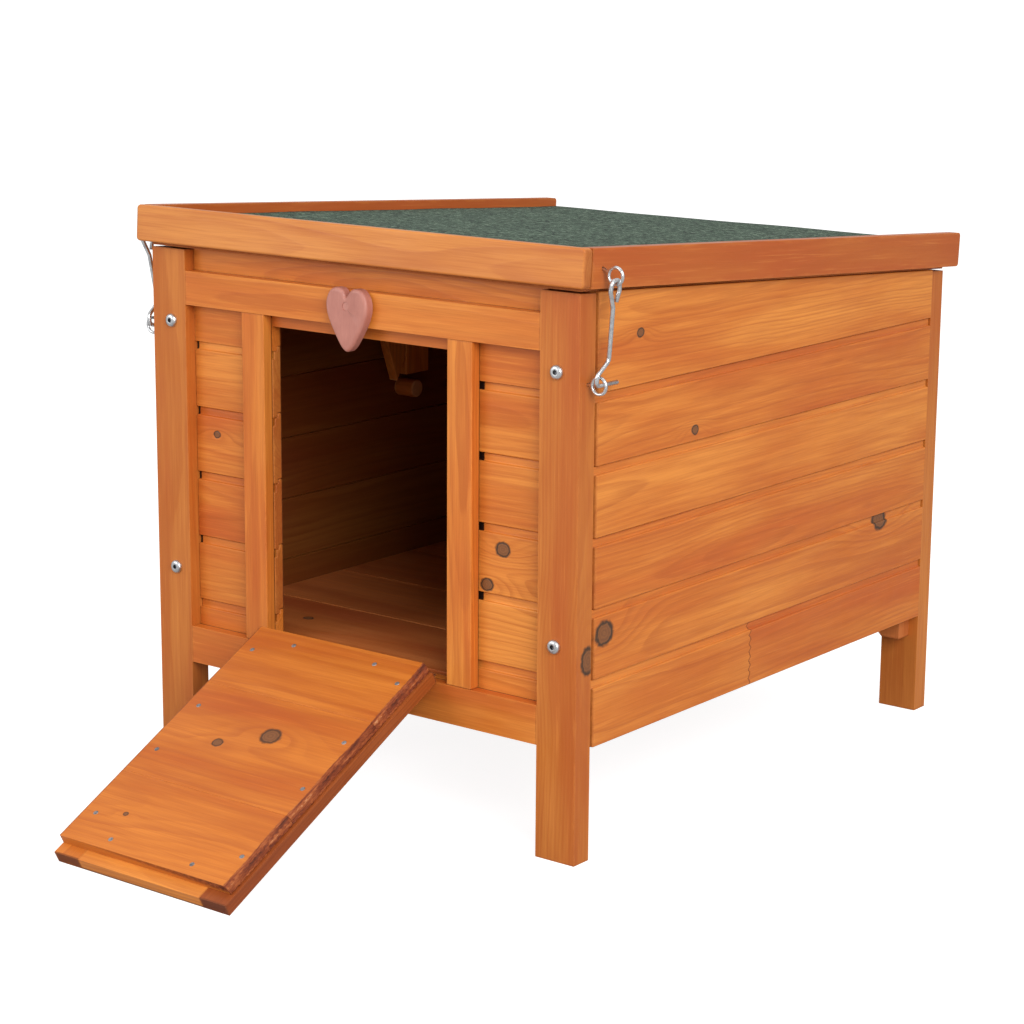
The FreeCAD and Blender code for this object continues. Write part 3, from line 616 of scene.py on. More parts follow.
def pine_group(knot: bpy.types.NodeTree) -> bpy.types.NodeTree:
    """Growth rings, fibres and knots of a board sawn from a log whose pith runs beside it.

    Args:
        knot: the group for one knot.

    Returns:
        The group.
    """
    tree = group_tree(
        "Pine grain",
        [
            ("Local", "Vector"),
            ("Half", "Vector"),
            ("Log", "Vector"),
            ("Seed", "Float"),
            ("Pitch", "Float"),
            *((title, "Vector") for title in KNOT_INPUTS),
        ],
        [(title, "Float") for title in ("Late", "Fibre", "Cloud", "Knot", "Knot Rings", "Collar")],
    )
    net, given, result = inside(tree)
    local = given["Local"]
    shift = net.node("ShaderNodeCombineXYZ")
    for socket, scale in zip(shift.inputs, (7.31, 3.17, 1.73)):
        net.put(socket, net.times(given["Seed"], scale))
    place = net.vector("ADD", local, shift.outputs[0])
    sway = net.vector("SUBTRACT", net.noise(place, (3.2, 9.0, 9.0), 1.0).outputs[1], (0.5, 0.5, 0.5))
    ripple = net.vector("SUBTRACT", net.noise(place, (17.0, 70.0, 70.0), 2.0).outputs[1], (0.5, 0.5, 0.5))
    bent = net.vector("ADD", given["Log"], net.vector("MULTIPLY", sway, (0.0, 0.020, 0.024)))
    bent = net.vector("ADD", bent, net.vector("MULTIPLY", ripple, (0.0, 0.0022, 0.0022)))
    radius = net.vector("LENGTH", net.vector("MULTIPLY", bent, (0.0, 1.0, 1.0)))
    knots = [
        net.group(knot, Local=local, Half=given["Half"], Knot=given[title]).outputs for title in KNOT_INPUTS
    ]
    radius = net.plus(radius, *(made["Push"] for made in knots))
    turns = net.math("DIVIDE", radius, given["Pitch"])
    turns = net.plus(turns, net.times(given["Seed"], 13.0))
    phase = net.math("FRACT", turns)
    rise = net.range(phase, 0.25, 0.86)
    drop = net.range(phase, 1.0, 0.90)
    year = net.node("ShaderNodeTexWhiteNoise", noise_dimensions="1D")
    net.put(year.inputs["W"], net.math("FLOOR", turns))
    strength = net.scaled(year.outputs[0], 0.75, 0.25)
    net.put(result["Late"], net.times(net.times(rise, drop), strength))
    fine = net.noise(place, (26.0, 1050.0, 1050.0), 3.0, 0.6).outputs[0]
    coarse = net.noise(place, (9.0, 260.0, 260.0), 2.0).outputs[0]
    net.put(result["Fibre"], net.scaled(coarse, 0.45, net.times(fine, 0.55)))
    net.put(result["Cloud"], net.noise(place, (4.5, 30.0, 30.0), 3.0).outputs[0])
    net.put(result["Knot"], net.largest([made["Mask"] for made in knots]))
    net.put(result["Knot Rings"], net.largest([net.times(made["Rings"], made["Mask"]) for made in knots]))
    net.put(result["Collar"], net.largest([made["Collar"] for made in knots]))
    return tree


def edge_group() -> bpy.types.NodeTree:
    """Where a board's edges and its sawn ends are, with an uneven, rubbed outline.

    Returns:
        The group.
    """
    tree = group_tree(
        "Board edges",
        [("Local", "Vector"), ("Half", "Vector"), ("Width", "Float")],
        [("Edge", "Float"), ("End", "Float")],
    )
    net, given, result = inside(tree)
    gap = net.vector("SUBTRACT", given["Half"], net.vector("ABSOLUTE", given["Local"]))
    parts = net.split(gap)
    u, v, w = parts
    low = net.math("MINIMUM", net.math("MINIMUM", u, v), w)
    high = net.math("MAXIMUM", net.math("MAXIMUM", u, v), w)
    middle = net.minus(net.plus(net.plus(u, v), w), net.plus(low, high))
    rub = net.noise(given["Local"], (45.0, 160.0, 160.0), 3.0, 0.65).outputs[0]
    width = net.times(given["Width"], net.range(rub, 0.38, 0.72, (0.25, 1.6)))
    net.put(result["Edge"], net.math("SUBTRACT", 1.0, net.math("DIVIDE", middle, width), clamp=True))
    net.put(result["End"], net.range(u, 0.0016, 0.0003))
    return tree


def joint_group(shape: JointShape = JointShape()) -> bpy.types.NodeTree:
    """A glued finger joint across a board: which side of it a point is, and its zigzag line.

    Args:
        shape: its teeth and line.

    Returns:
        The group.
    """
    tree = group_tree(
        "Finger joint",
        [("Local", "Vector"), ("Place", "Float")],
        [("Side", "Float"), ("Line", "Float")],
    )
    net, given, result = inside(tree)
    parts = net.split(given["Local"])
    teeth = net.math("PINGPONG", net.plus(parts[1], 1.0), shape.tooth)
    ragged = net.noise(given["Local"], (0.0, 420.0, 0.0), 2.0).outputs[0]
    offset = net.minus(parts[0], given["Place"])
    offset = net.minus(offset, net.times(teeth, shape.slope))
    offset = net.minus(offset, net.times(ragged, shape.ragged))
    net.put(result["Side"], net.math("GREATER_THAN", offset, 0.0))
    net.put(result["Line"], net.range(net.math("ABSOLUTE", offset), *shape.line))
    return tree


def groove_group(shape: GrooveShape = GrooveShape()) -> bpy.types.NodeTree:
    """Painted deep shade where the step along a board's upper edge runs in under a post or stile.

    Args:
        shape: the mark's size.

    Returns:
        The group.
    """
    tree = group_tree(
        "Groove end",
        [("Local", "Vector"), ("Half", "Vector"), ("End", "Float")],
        [("Shade", "Float")],
    )
    net, given, result = inside(tree)
    place = net.split(net.here())
    near = net.minus(place[0], given["End"])
    gap = net.split(net.vector("SUBTRACT", given["Half"], given["Local"]))
    step = net.range(gap[1], *shape.height)
    deep = net.range(gap[2], *shape.depth)
    end = net.range(near, *shape.length)
    net.put(result["Shade"], net.times(net.times(step, deep), end))
    return tree


def speckle_group() -> bpy.types.NodeTree:
    """Fine grit or dust: a value that differs from grain to grain, and a height.

    Returns:
        The group.
    """
    tree = group_tree(
        "Speckle",
        [("At", "Vector"), ("Grain", "Float")],
        [("Tone", "Float"), ("Height", "Float")],
    )
    net, given, result = inside(tree)
    cells = net.node("ShaderNodeTexVoronoi", feature="F1")
    net.put(cells.inputs["Vector"], given["At"])
    net.put(cells.inputs["Scale"], net.math("DIVIDE", 1.0, given["Grain"]))
    tone = net.node("ShaderNodeSeparateColor")
    net.put(tone.inputs[0], cells.outputs["Color"])
    net.put(result["Tone"], tone.outputs[0])
    net.put(result["Height"], net.math("SUBTRACT", 1.0, cells.outputs["Distance"], clamp=True))
    return tree


# Finishes


class Finish:
    """A named material made of nodes, with one Principled shader."""

    def __init__(self, name: str) -> None:
        """Start the material.

        Args:
            name: its name.
        """
        self.material = bpy.data.materials.new(name)
        self.material.use_nodes = True
        self.net = Net(self.material.node_tree)
        self.shader = self.material.node_tree.nodes["Principled BSDF"]

    def feed(self, **values: object) -> None:
        """Set or link inputs of the shader, given with underscores for spaces."""
        for key, value in values.items():
            self.net.put(self.shader.inputs[key.replace("_", " ")], value)

    def bump(self, height: object, distance: float, strength: float) -> None:
        """Raise the surface by a height pattern.

        Args:
            height: the pattern.
            distance: its height in metres.
            strength: how much of it shows.
        """
        made = self.net.node("ShaderNodeBump")
        self.net.put(made.inputs["Height"], height)
        made.inputs["Distance"].default_value = distance
        made.inputs["Strength"].default_value = strength
        self.feed(Normal=made.outputs[0])


@dataclass(frozen=True)
class PineTones:
    """Colours of one kind of varnished pine."""

    light: Colour = (0.735, 0.262, 0.044, 1.0)
    mid: Colour = (0.600, 0.170, 0.024, 1.0)
    late: Colour = (0.380, 0.080, 0.010, 1.0)
    knot: Colour = (0.042, 0.024, 0.014, 1.0)
    end: Colour = (0.260, 0.062, 0.012, 1.0)
    end_strength: float = 0.5
    ring_strength: float = 0.42
    roughness: float = 0.42
    coat: float = 0.05
    specular: float = 0.30
    # Painted shade: a board's back face is mixed toward painted_inner_shade by 1 - inside, standing in for
    # the dim light inside the hutch.
    inside: float = 1.0
    painted_inner_shade: Colour = (0.045, 0.006, 0.0035, 1.0)
    # Painted shade: near-black colour at the ends of the steps, where they run in under a post or stile.
    groove: Colour = (0.012, 0.004, 0.002, 1.0)
    heart_dark: Colour = (0.140, 0.056, 0.023, 1.0)
    heart_pale: Colour = (0.190, 0.077, 0.028, 1.0)
    worn_width: float = 0.0022


class VarnishedPine(Finish):
    """Pine under a thin orange-brown varnish, with rings, knots, worn edges and darker sawn ends, and painted
    shade on inner faces and at the ends of steps under posts.
    """

    def __init__(self, name: str, tones: PineTones, groups: "SharedGroups") -> None:
        """Build the material.

        Args:
            name: the material's name.
            tones: its colours.
            groups: the shader groups that it places.
        """
        super().__init__(name)
        net = self.net
        local = net.attribute("plank_local")
        half = net.attribute("plank_half")
        log = net.attribute("plank_log")
        seed = net.attribute("plank_seed", "Fac")
        tone = net.attribute("plank_tone", "Fac")
        joint = net.group(groups.joint, Local=local, Place=net.attribute("plank_joint", "Fac"))
        seed = net.scaled(joint.outputs["Side"], 0.37, seed)
        tone = net.scaled(joint.outputs["Side"], -0.4, tone)
        grain = net.group(
            groups.pine,
            Local=local,
            Half=half,
            Log=log,
            Seed=seed,
            Pitch=net.attribute("plank_pitch", "Fac"),
            Knot_A=net.attribute("knot_a"),
            Knot_B=net.attribute("knot_b"),
            Knot_C=net.attribute("knot_c"),
        )
        edges = net.group(groups.edges, Local=local, Half=half, Width=tones.worn_width)
        cloud = net.scaled(tone, -0.24, grain.outputs["Cloud"])
        red = (tones.mid[0] * 0.86, tones.mid[1] * 0.62, tones.mid[2] * 0.62, 1.0)
        colour = net.ramp(net.range(cloud, 0.22, 0.86), [(0.0, tones.light), (0.5, tones.mid), (1.0, red)])
        late = net.times(grain.outputs["Late"], tones.ring_strength)
        colour = net.blend(late, colour, tones.late)
        streak = net.range(grain.outputs["Fibre"], 0.40, 0.72, (0.0, 0.42))
        colour = net.blend(streak, colour, tones.late)
        bright = net.range(grain.outputs["Fibre"], 0.46, 0.28, (0.0, 0.35))
        colour = net.blend(bright, colour, self.darker(tones.light, 1.12))
        heart = net.blend(grain.outputs["Knot Rings"], tones.heart_dark, tones.heart_pale)
        colour = net.blend(net.times(grain.outputs["Knot"], 0.90), colour, heart)
        colour = net.blend(net.times(grain.outputs["Collar"], 0.88), colour, tones.knot)
        colour = net.blend(net.times(edges.outputs["End"], tones.end_strength), colour, tones.end)
        colour = net.blend(net.times(edges.outputs["Edge"], 0.22), colour, self.darker(tones.light, 1.15))
        colour = net.blend(net.times(joint.outputs["Line"], 0.75), colour, self.darker(tones.late, 0.45))
        # Painted shade: each board's back face is darkened toward painted_inner_shade, standing in for the
        # dim light inside the hutch.
        back = net.split(net.vector("ADD", local, half))
        shade = net.range(back[2], 0.0018, 0.0008, (0.0, 1.0 - tones.inside))
        colour = net.blend(shade, colour, tones.painted_inner_shade)
        # Painted shade where the step along a board's upper edge runs in under a post or stile.
        groove = net.group(groups.groove, Local=local, Half=half, End=net.attribute("groove_end", "Fac"))
        colour = net.blend(groove.outputs["Shade"], colour, tones.groove)
        bark = net.attribute("bark", "Fac")
        place = net.here()
        strands = net.noise(local, (260.0, 24.0, 380.0), 5.0, 0.72).outputs[0]
        bark_colour = net.ramp(
            strands,
            [
                (0.34, (0.050, 0.011, 0.006, 1.0)),
                (0.50, (0.200, 0.040, 0.012, 1.0)),
                (0.62, (0.380, 0.100, 0.026, 1.0)),
                (0.76, (0.680, 0.380, 0.190, 1.0)),
            ],
        )
        colour = net.blend(bark, colour, bark_colour)
        smear = net.noise(place, (22.0, 22.0, 22.0), 4.0, 0.6).outputs[0]
        rough = net.range(smear, 0.25, 0.8, (tones.roughness - 0.07, tones.roughness + 0.13))
        rough = net.scaled(grain.outputs["Late"], -0.06, rough)
        rough = net.scaled(edges.outputs["End"], 0.2, rough)
        rough = net.scaled(bark, 0.35, rough, clamp=True)
        height = net.scaled(grain.outputs["Fibre"], -0.5, net.times(grain.outputs["Late"], 0.35))
        height = net.scaled(grain.outputs["Collar"], -0.8, height)
        height = net.scaled(net.times(bark, strands), 4.0, height)
        self.feed(Base_Color=colour, Roughness=rough, Coat_Weight=tones.coat, Coat_Roughness=0.28)
        self.feed(Specular_IOR_Level=tones.specular)
        self.bump(height, 0.0003, 0.55)

    @staticmethod
    def darker(colour: Colour, factor: float) -> Colour:
        """A colour scaled by a factor."""
        return (colour[0] * factor, colour[1] * factor, colour[2] * factor, 1.0)


class MineralFelt(Finish):
    """Bitumen roofing felt under dark green mineral grit."""

    def __init__(self, groups: "SharedGroups") -> None:
        """Build the material.

        Args:
            groups: the shader groups that it places.
        """
        super().__init__("mineral_felt")
        net = self.net
        place = net.here()
        grit = net.group(groups.speckle, At=place, Grain=0.0013)
        coarse = net.group(groups.speckle, At=place, Grain=0.0031)
        tone = net.scaled(coarse.outputs["Tone"], 0.55, net.times(grit.outputs["Tone"], 0.45))
        colour = net.ramp(
            tone,
            [
                (0.18, (0.006, 0.014, 0.008, 1.0)),
                (0.42, (0.024, 0.052, 0.030, 1.0)),
                (0.70, (0.068, 0.118, 0.074, 1.0)),
                (0.92, (0.190, 0.260, 0.175, 1.0)),
            ],
        )
        worn = net.noise(place, (14.0, 10.0, 14.0), 4.0, 0.6).outputs[0]
        colour = net.blend(net.range(worn, 0.5, 0.85, (0.0, 0.35)), colour, (0.020, 0.040, 0.032, 1.0))
        height = net.scaled(coarse.outputs["Height"], 0.8, grit.outputs["Height"])
        height = net.scaled(worn, 1.5, height)
        self.feed(Base_Color=colour, Roughness=net.range(tone, 0.0, 1.0, (0.96, 0.74)))
        self.bump(height, 0.0008, 0.9)


class DustyPinkPaint(Finish):
    """Satin pink paint brushed on wood, a little worn at the rim."""

    def __init__(self, groups: "SharedGroups") -> None:
        """Build the material.

        Args:
            groups: the shader groups that it places.
        """
        super().__init__("dusty_pink_paint")
        net = self.net
        place = net.here()
        brush = net.noise(place, (900.0, 900.0, 90.0), 3.0, 0.6).outputs[0]
        patch = net.noise(place, (60.0, 60.0, 60.0), 3.0).outputs[0]
        colour = net.ramp(
            net.scaled(brush, 0.35, net.times(patch, 0.65)),
            [
                (0.3, (0.370, 0.134, 0.100, 1.0)),
                (0.6, (0.460, 0.182, 0.138, 1.0)),
                (0.8, (0.525, 0.225, 0.172, 1.0)),
            ],
        )
        local, half = net.attribute("plank_local"), net.attribute("plank_half")
        edges = net.group(groups.edges, Local=local, Half=half, Width=0.0035)
        colour = net.blend(net.times(edges.outputs["Edge"], 0.18), colour, (0.66, 0.34, 0.28, 1.0))
        dust = net.group(groups.speckle, At=place, Grain=0.0009)
        self.feed(Base_Color=colour, Roughness=net.range(patch, 0.3, 0.8, (0.46, 0.62)), Coat_Weight=0.05)
        self.bump(net.scaled(dust.outputs["Height"], 0.15, brush), 0.0002, 0.4)


@dataclass(frozen=True)
class MetalTones:
    """Colours of a plated metal."""

    bright: Colour = (0.80, 0.81, 0.82, 1.0)
    dull: Colour = (0.50, 0.51, 0.52, 1.0)
    roughness: float = 0.24
    metallic: float = 1.0
    # Painted shade: a dark colour laid into the recess of a head.
    socket: Colour = (0.15, 0.15, 0.16, 1.0)


class PlatedSteel(Finish):
    """Zinc plated steel with a soft cloudy sheen and fine drawing marks."""

    def __init__(self, name: str, tones: MetalTones, groups: "SharedGroups") -> None:
        """Build the material.

        Args:
            name: the material's name.
            tones: its colours.
            groups: the shader groups that it places.
        """
        super().__init__(name)
        net = self.net
        place = net.here()
        cloud = net.noise(place, (240.0, 240.0, 240.0), 4.0, 0.6).outputs[0]
        marks = net.noise(place, (1600.0, 1600.0, 500.0), 2.0).outputs[0]
        spots = net.group(groups.speckle, At=place, Grain=0.0011)
        mixed = net.scaled(marks, 0.3, net.times(cloud, 0.7))
        colour = net.blend(net.range(mixed, 0.35, 0.68), tones.bright, tones.dull)
        # Painted shade in the recesses of heads.
        colour = net.blend(net.attribute("socket", "Fac"), colour, tones.socket)
        rough = net.range(mixed, 0.3, 0.75, (tones.roughness, tones.roughness + 0.22))
        rough = net.scaled(spots.outputs["Tone"], 0.06, rough)
        self.feed(Base_Color=colour, Roughness=rough, Metallic=tones.metallic)
        self.bump(marks, 0.00005, 0.35)


class StudioWhite(Finish):
    """Plain pale floor that looks almost white to the camera and throws less light back up."""

    def __init__(self) -> None:
        """Build the material."""
        super().__init__("studio_white")
        net = self.net
        seen = net.node("ShaderNodeLightPath").outputs["Is Camera Ray"]
        glow = net.times(seen, 0.86)
        self.feed(Base_Color=(0.42, 0.42, 0.42, 1.0), Roughness=1.0, Specular_IOR_Level=0.0)
        self.feed(Emission_Color=(1.0, 1.0, 1.0, 1.0), Emission_Strength=glow)


class SharedGroups:
    """The shader groups that several finishes place."""

    def __init__(self) -> None:
        """Build every group once."""
        self.pine = pine_group(knot_group())
        self.edges = edge_group()
        self.joint = joint_group()
        self.groove = groove_group()
        self.speckle = speckle_group()


class Finishes:
    """Every finish of the hutch."""

    def __init__(self) -> None:
        """Build every finish once."""
        groups = SharedGroups()
        # Painted shade on the walls' inner faces: inside=0.25 mixes them three quarters of the way to the
        # dark inner colour.
        self.wall = VarnishedPine("varnished_wall_pine", PineTones(inside=0.25), groups)
        self.post = VarnishedPine(
            "varnished_post_pine",
            PineTones(light=(0.620, 0.215, 0.040, 1.0), mid=(0.510, 0.155, 0.025, 1.0), ring_strength=0.35),
            groups,
        )
        self.ramp = VarnishedPine(
            "varnished_ramp_pine",
            PineTones(
                light=(0.640, 0.198, 0.026, 1.0), mid=(0.530, 0.142, 0.016, 1.0),
                knot=(0.070, 0.028, 0.012, 1.0), end=DARK_END, coat=0.03, end_strength=0.9,
            ),
            groups,
        )
        # A darker, redder copy of the ramp's pine, for the ramp's right stile.
        self.dark = VarnishedPine(
            "varnished_heartwood",
            PineTones(
                light=(0.400, 0.105, 0.022, 1.0), mid=(0.290, 0.066, 0.013, 1.0),
                late=(0.180, 0.034, 0.006, 1.0), end=DARK_END, end_strength=0.9,
            ),
            groups,
        )
        # Unvarnished pine for the parts inside the hutch; its darker, redder colour is painted shade for the
        # dim inside.
        self.inner = VarnishedPine(
            "stained_inner_pine",
            PineTones(
                light=(0.600, 0.185, 0.046, 1.0), mid=(0.440, 0.118, 0.028, 1.0), roughness=0.60, coat=0.0
            ),
            groups,
        )
        self.trim = VarnishedPine(
            "varnished_trim_pine",
            PineTones(
                light=(0.640, 0.235, 0.048, 1.0), mid=(0.500, 0.140, 0.022, 1.0),
                ring_strength=0.36, coat=0.10,
            ),
            groups,
        )
        # Bare pine for the prop arm and the peg; its lighter end colour is painted light on their end faces.
        self.dowel = VarnishedPine(
            "bare_dowel_pine",
            PineTones(end=(0.620, 0.330, 0.150, 1.0), end_strength=0.55, roughness=0.6, coat=0.0),
            groups,
        )
        self.felt = MineralFelt(groups)
        self.paint = DustyPinkPaint(groups)
        self.wire = PlatedSteel("zinc_wire", MetalTones(roughness=0.16), groups)
        hinge = MetalTones(bright=(0.66, 0.66, 0.66, 1.0), roughness=0.30)
        bolt = MetalTones(bright=(0.72, 0.73, 0.75, 1.0), roughness=0.20)
        self.hinge = PlatedSteel("zinc_hinge_plate", hinge, groups)
        self.bolt = PlatedSteel("plated_bolt", bolt, groups)
        self.nail = PlatedSteel(
            "dull_nail",
            MetalTones(
                bright=(0.42, 0.42, 0.44, 1.0), dull=(0.14, 0.12, 0.11, 1.0), roughness=0.40, metallic=0.8
            ),
            groups,
        )


# Boards


@dataclass(frozen=True)
class Knot:
    """A knot at a place on the hutch, in metres."""

    place: Point
    radius: float


@dataclass(frozen=True)
class Cut:
    """How a node's boards are sawn and finished."""

    lay: Lay
    finish: Finish
    slot: str
    knots: tuple[Knot, ...] = ()
    joint: Point | None = None
    edge: float = 0.0009
    pitch: tuple[float, float] = (0.0024, 0.0046)
    pith: tuple[float, float] = (0.008, 0.030)
    tones: tuple[float, ...] = ()
    stray_knots: float = 0.35
    end_gap: float = 0.0
    # Where the painted shade at the ends of the steps starts, along the hutch's width.
    groove_end: float = -NOWHERE


class Joiner:
    """Turns CAD nodes into finished pieces with eased edges and the grain that their boards carry."""

    def board(self, body: str, node: str, cut: Cut) -> bpy.types.Object:
        """Ease a wooden node's edges and give each of its boards its own grain.

        Args:
            body: the CAD body that it rides on.
            node: the CAD node that it replaces.
            cut: how its boards are sawn and finished.

        Returns:
            The finished piece.
        """
        piece = new_piece(f"pine_{node}", merged_copy(node))
        bevel = piece.modifiers.new("ease", "BEVEL")
        bevel.width = cut.edge
        bevel.segments = EASE_STEPS
        bevel.limit_method = "ANGLE"
        bevel.angle_limit = EASE_OVER
        bevel.use_clamp_overlap = True
        normals = piece.modifiers.new("flat", "WEIGHTED_NORMAL")
        normals.keep_sharp = True
        piece.data.shade_smooth()
        apply_modifiers(piece)
        self.saw(piece, node, cut)
        if cut.end_gap:
            self.trim_ends(piece.data, cut)
        return self.hand_over(piece, body, node, cut.finish, cut.slot)

    @staticmethod
    def trim_ends(mesh: bpy.types.Mesh, cut: Cut) -> None:
        """Undercut each board's starting end, so that its face stops a little short of the post.

        Args:
            mesh: the boards.
            cut: how they are sawn.
        """
        points = coordinates(mesh)
        axes = cut.lay.matrix()
        for group in loose_parts(mesh):
            own = points[group] @ axes.T
            low, high = own.min(0), own.max(0)
            moved = (own[:, 0] < low[0] + 2 * cut.edge) & (own[:, 2] > high[2] - 1.5 * cut.edge)
            own[moved, 0] += cut.end_gap
            points[group] = own @ axes
        mesh.vertices.foreach_set("co", points.ravel())
        mesh.update()

    def saw(self, piece: bpy.types.Object, name: str, cut: Cut) -> None:
        """Store each board's own coordinates, log, knots and tone on its vertices.

        Args:
            piece: the boards.
            name: what starts their random draws.
            cut: how they are sawn.
        """
        mesh = piece.data
        points = coordinates(mesh)
        axes = cut.lay.matrix()
        own = points @ axes.T
        count = len(points)
        vectors = ("plank_local", "plank_half", "plank_log", *KNOT_STORES)
        titles = ("plank_seed", "plank_tone", "plank_pitch", "plank_joint", "groove_end")
        stores = {key: np.zeros((count, 3)) for key in vectors}
        numbers = {key: np.zeros(count) for key in titles}
        for index, group in enumerate(loose_parts(mesh)):
            chance = random.Random(f"{name} {index}")
            low, high = own[group].min(0), own[group].max(0)
            centre, half = (low + high) / 2, (high - low) / 2
            local = own[group] - centre
            pith = np.array([0.0, chance.uniform(-0.8, 0.8) * half[1], -half[2] - chance.uniform(*cut.pith)])
            stores["plank_local"][group] = local
            stores["plank_half"][group] = half
            stores["plank_log"][group] = local - pith
            numbers["plank_seed"][group] = chance.uniform(0.0, 1.0)
            given = cut.tones[index] if index < len(cut.tones) else chance.uniform(-0.5, 0.5)
            numbers["plank_tone"][group] = given
            numbers["plank_pitch"][group] = chance.uniform(*cut.pitch)
            joint = NOWHERE
            if cut.joint is not None:
                spot = axes @ np.array(cut.joint) - centre
                joint = spot[0] if abs(spot[1]) < half[1] else NOWHERE
            numbers["plank_joint"][group] = joint
            numbers["groove_end"][group] = cut.groove_end
            for key, knot in zip(KNOT_STORES, self.knots_in(cut, axes, centre, half, chance)):
                stores[key][group] = knot
        for key, values in (stores | numbers).items():
            set_attribute(mesh, key, values)

    @staticmethod
    def knots_in(
        cut: Cut, axes: np.ndarray, centre: np.ndarray, half: np.ndarray, chance: random.Random
    ) -> list[Point]:
        """The knots whose centres lie in one board, and perhaps a stray one, in its own coordinates.

        Args:
            cut: how the board is sawn.
            axes: its directions.
            centre: its middle.
            half: half of its size.
            chance: its random draws.

        Returns:
            Place along, place across and radius of up to three knots.
        """
        found = []
        for knot in cut.knots:
            spot = axes @ np.array(knot.place) - centre
            if np.all(np.abs(spot) <= half + KNOT_MARGIN):
                found.append((spot[0], spot[1], knot.radius))
        if not found and chance.random() < cut.stray_knots:
            along = chance.uniform(-0.85, 0.85) * half[0]
            across = chance.uniform(-0.7, 0.7) * half[1]
            found.append((along, across, chance.uniform(0.0016, 0.0036)))
        return found[:len(KNOT_STORES)]

    def smooth(
        self, body: str, node: str, finish: Finish, slot: str, angle: float = 40.0
    ) -> bpy.types.Object:
        """Join a turned or bent node's triangles and shade its curves smoothly.

        Args:
            body: the CAD body that it rides on.
            node: the CAD node that it replaces.
            finish: its finish.
            slot: its material slot.
            angle: edges sharper than this, in degrees, stay sharp.

        Returns:
            The finished piece.
        """
        mesh = merged_copy(node)
        piece = new_piece(f"made_{node}", mesh)
        mesh.shade_smooth()
        mesh.set_sharp_from_angle(angle=math.radians(angle))
        return self.hand_over(piece, body, node, finish, slot)

    @staticmethod
    def hand_over(
        piece: bpy.types.Object, body: str, node: str, finish: Finish, slot: str
    ) -> bpy.types.Object:
        """Give a piece its material, and let it stand for its CAD node.

        Args:
            piece: the piece.
            body: the CAD body that it rides on.
            node: the CAD node that it replaces.
            finish: its finish.
            slot: its material slot; not used.

        Returns:
            The same piece.
        """
        piece.data.materials.clear()
        piece.data.materials.append(finish.material)
        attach(piece, body)
        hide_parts(node)
        LOG.info("%s rides on %s", piece.name, body)
        return piece


# Fixings, set out by geometry nodes


RECESS_RINGS = 3  # the last rings of a head, which line its recess


@dataclass
class FixingHead:
    """The visible head of a bolt, screw or nail, made standing on the ground and looking up."""

    name: str
    radius: float
    height: float
    recess: Recess = Recess.NONE
    recess_radius: float = 0.0
    recess_depth: float = 0.0
    dome: float = 0.6
    sides: int = 24

    def ring(self, radius: float, height: float, shape: Recess = Recess.NONE) -> np.ndarray:
        """One ring of points, round or with the recess's outline.

        Args:
            radius: its radius.
            height: its height.
            shape: its outline.

        Returns:
            One row for each point.
        """
        turns = np.arange(self.sides) * 2 * math.pi / self.sides
        reach = np.full(self.sides, radius)
        if shape is Recess.HEX:
            reach = radius * math.cos(math.pi / 6) / np.cos((turns % (math.pi / 3)) - math.pi / 6)
        elif shape is Recess.CROSS:
            reach = radius * np.where(np.abs(np.sin(2 * turns)) < 0.55, 1.0, 0.42)
        return np.column_stack([reach * np.cos(turns), reach * np.sin(turns), np.full(self.sides, height)])

    def mesh(self) -> bpy.types.Mesh:
        """Skin the head from its foot, over its dome, and down into the recess.

        Returns:
            The mesh, with the recess marked for painted shade.
        """
        rings = [self.ring(self.radius, HEAD_FOOT), self.ring(self.radius, self.height * (1 - self.dome))]
        for step in DOME_STEPS:
            bend = math.sin(step * math.pi / 2)
            inset = self.radius * (1 - HEAD_SHRINK * (1 - math.cos(step * math.pi / 2)))
            rings.append(self.ring(inset, self.height * (1 - self.dome + self.dome * bend)))
        if self.recess is Recess.NONE:
            for share in (HEAD_FLAT, HEAD_CENTRE):
                rings.append(self.ring(self.radius * share, self.height))
        else:
            rings.append(self.ring(self.recess_radius * 1.12, self.height))
            rings.append(self.ring(self.recess_radius, self.height - 0.0001, self.recess))
            rings.append(self.ring(self.recess_radius * 0.96, self.height - self.recess_depth, self.recess))
            rings.append(self.ring(self.recess_radius * 0.05, self.height - self.recess_depth * 1.15))
        mesh = ring_mesh(self.name, rings, True, True)
        marks = np.zeros(len(rings) * self.sides)
        if self.recess is not Recess.NONE:
            marks[-RECESS_RINGS * self.sides:] = 1.0
        # The recess is marked so that the finish paints shade into it.
        set_attribute(mesh, "socket", marks)
        mesh.shade_smooth()
        mesh.set_sharp_from_angle(angle=math.radians(45))
        return mesh


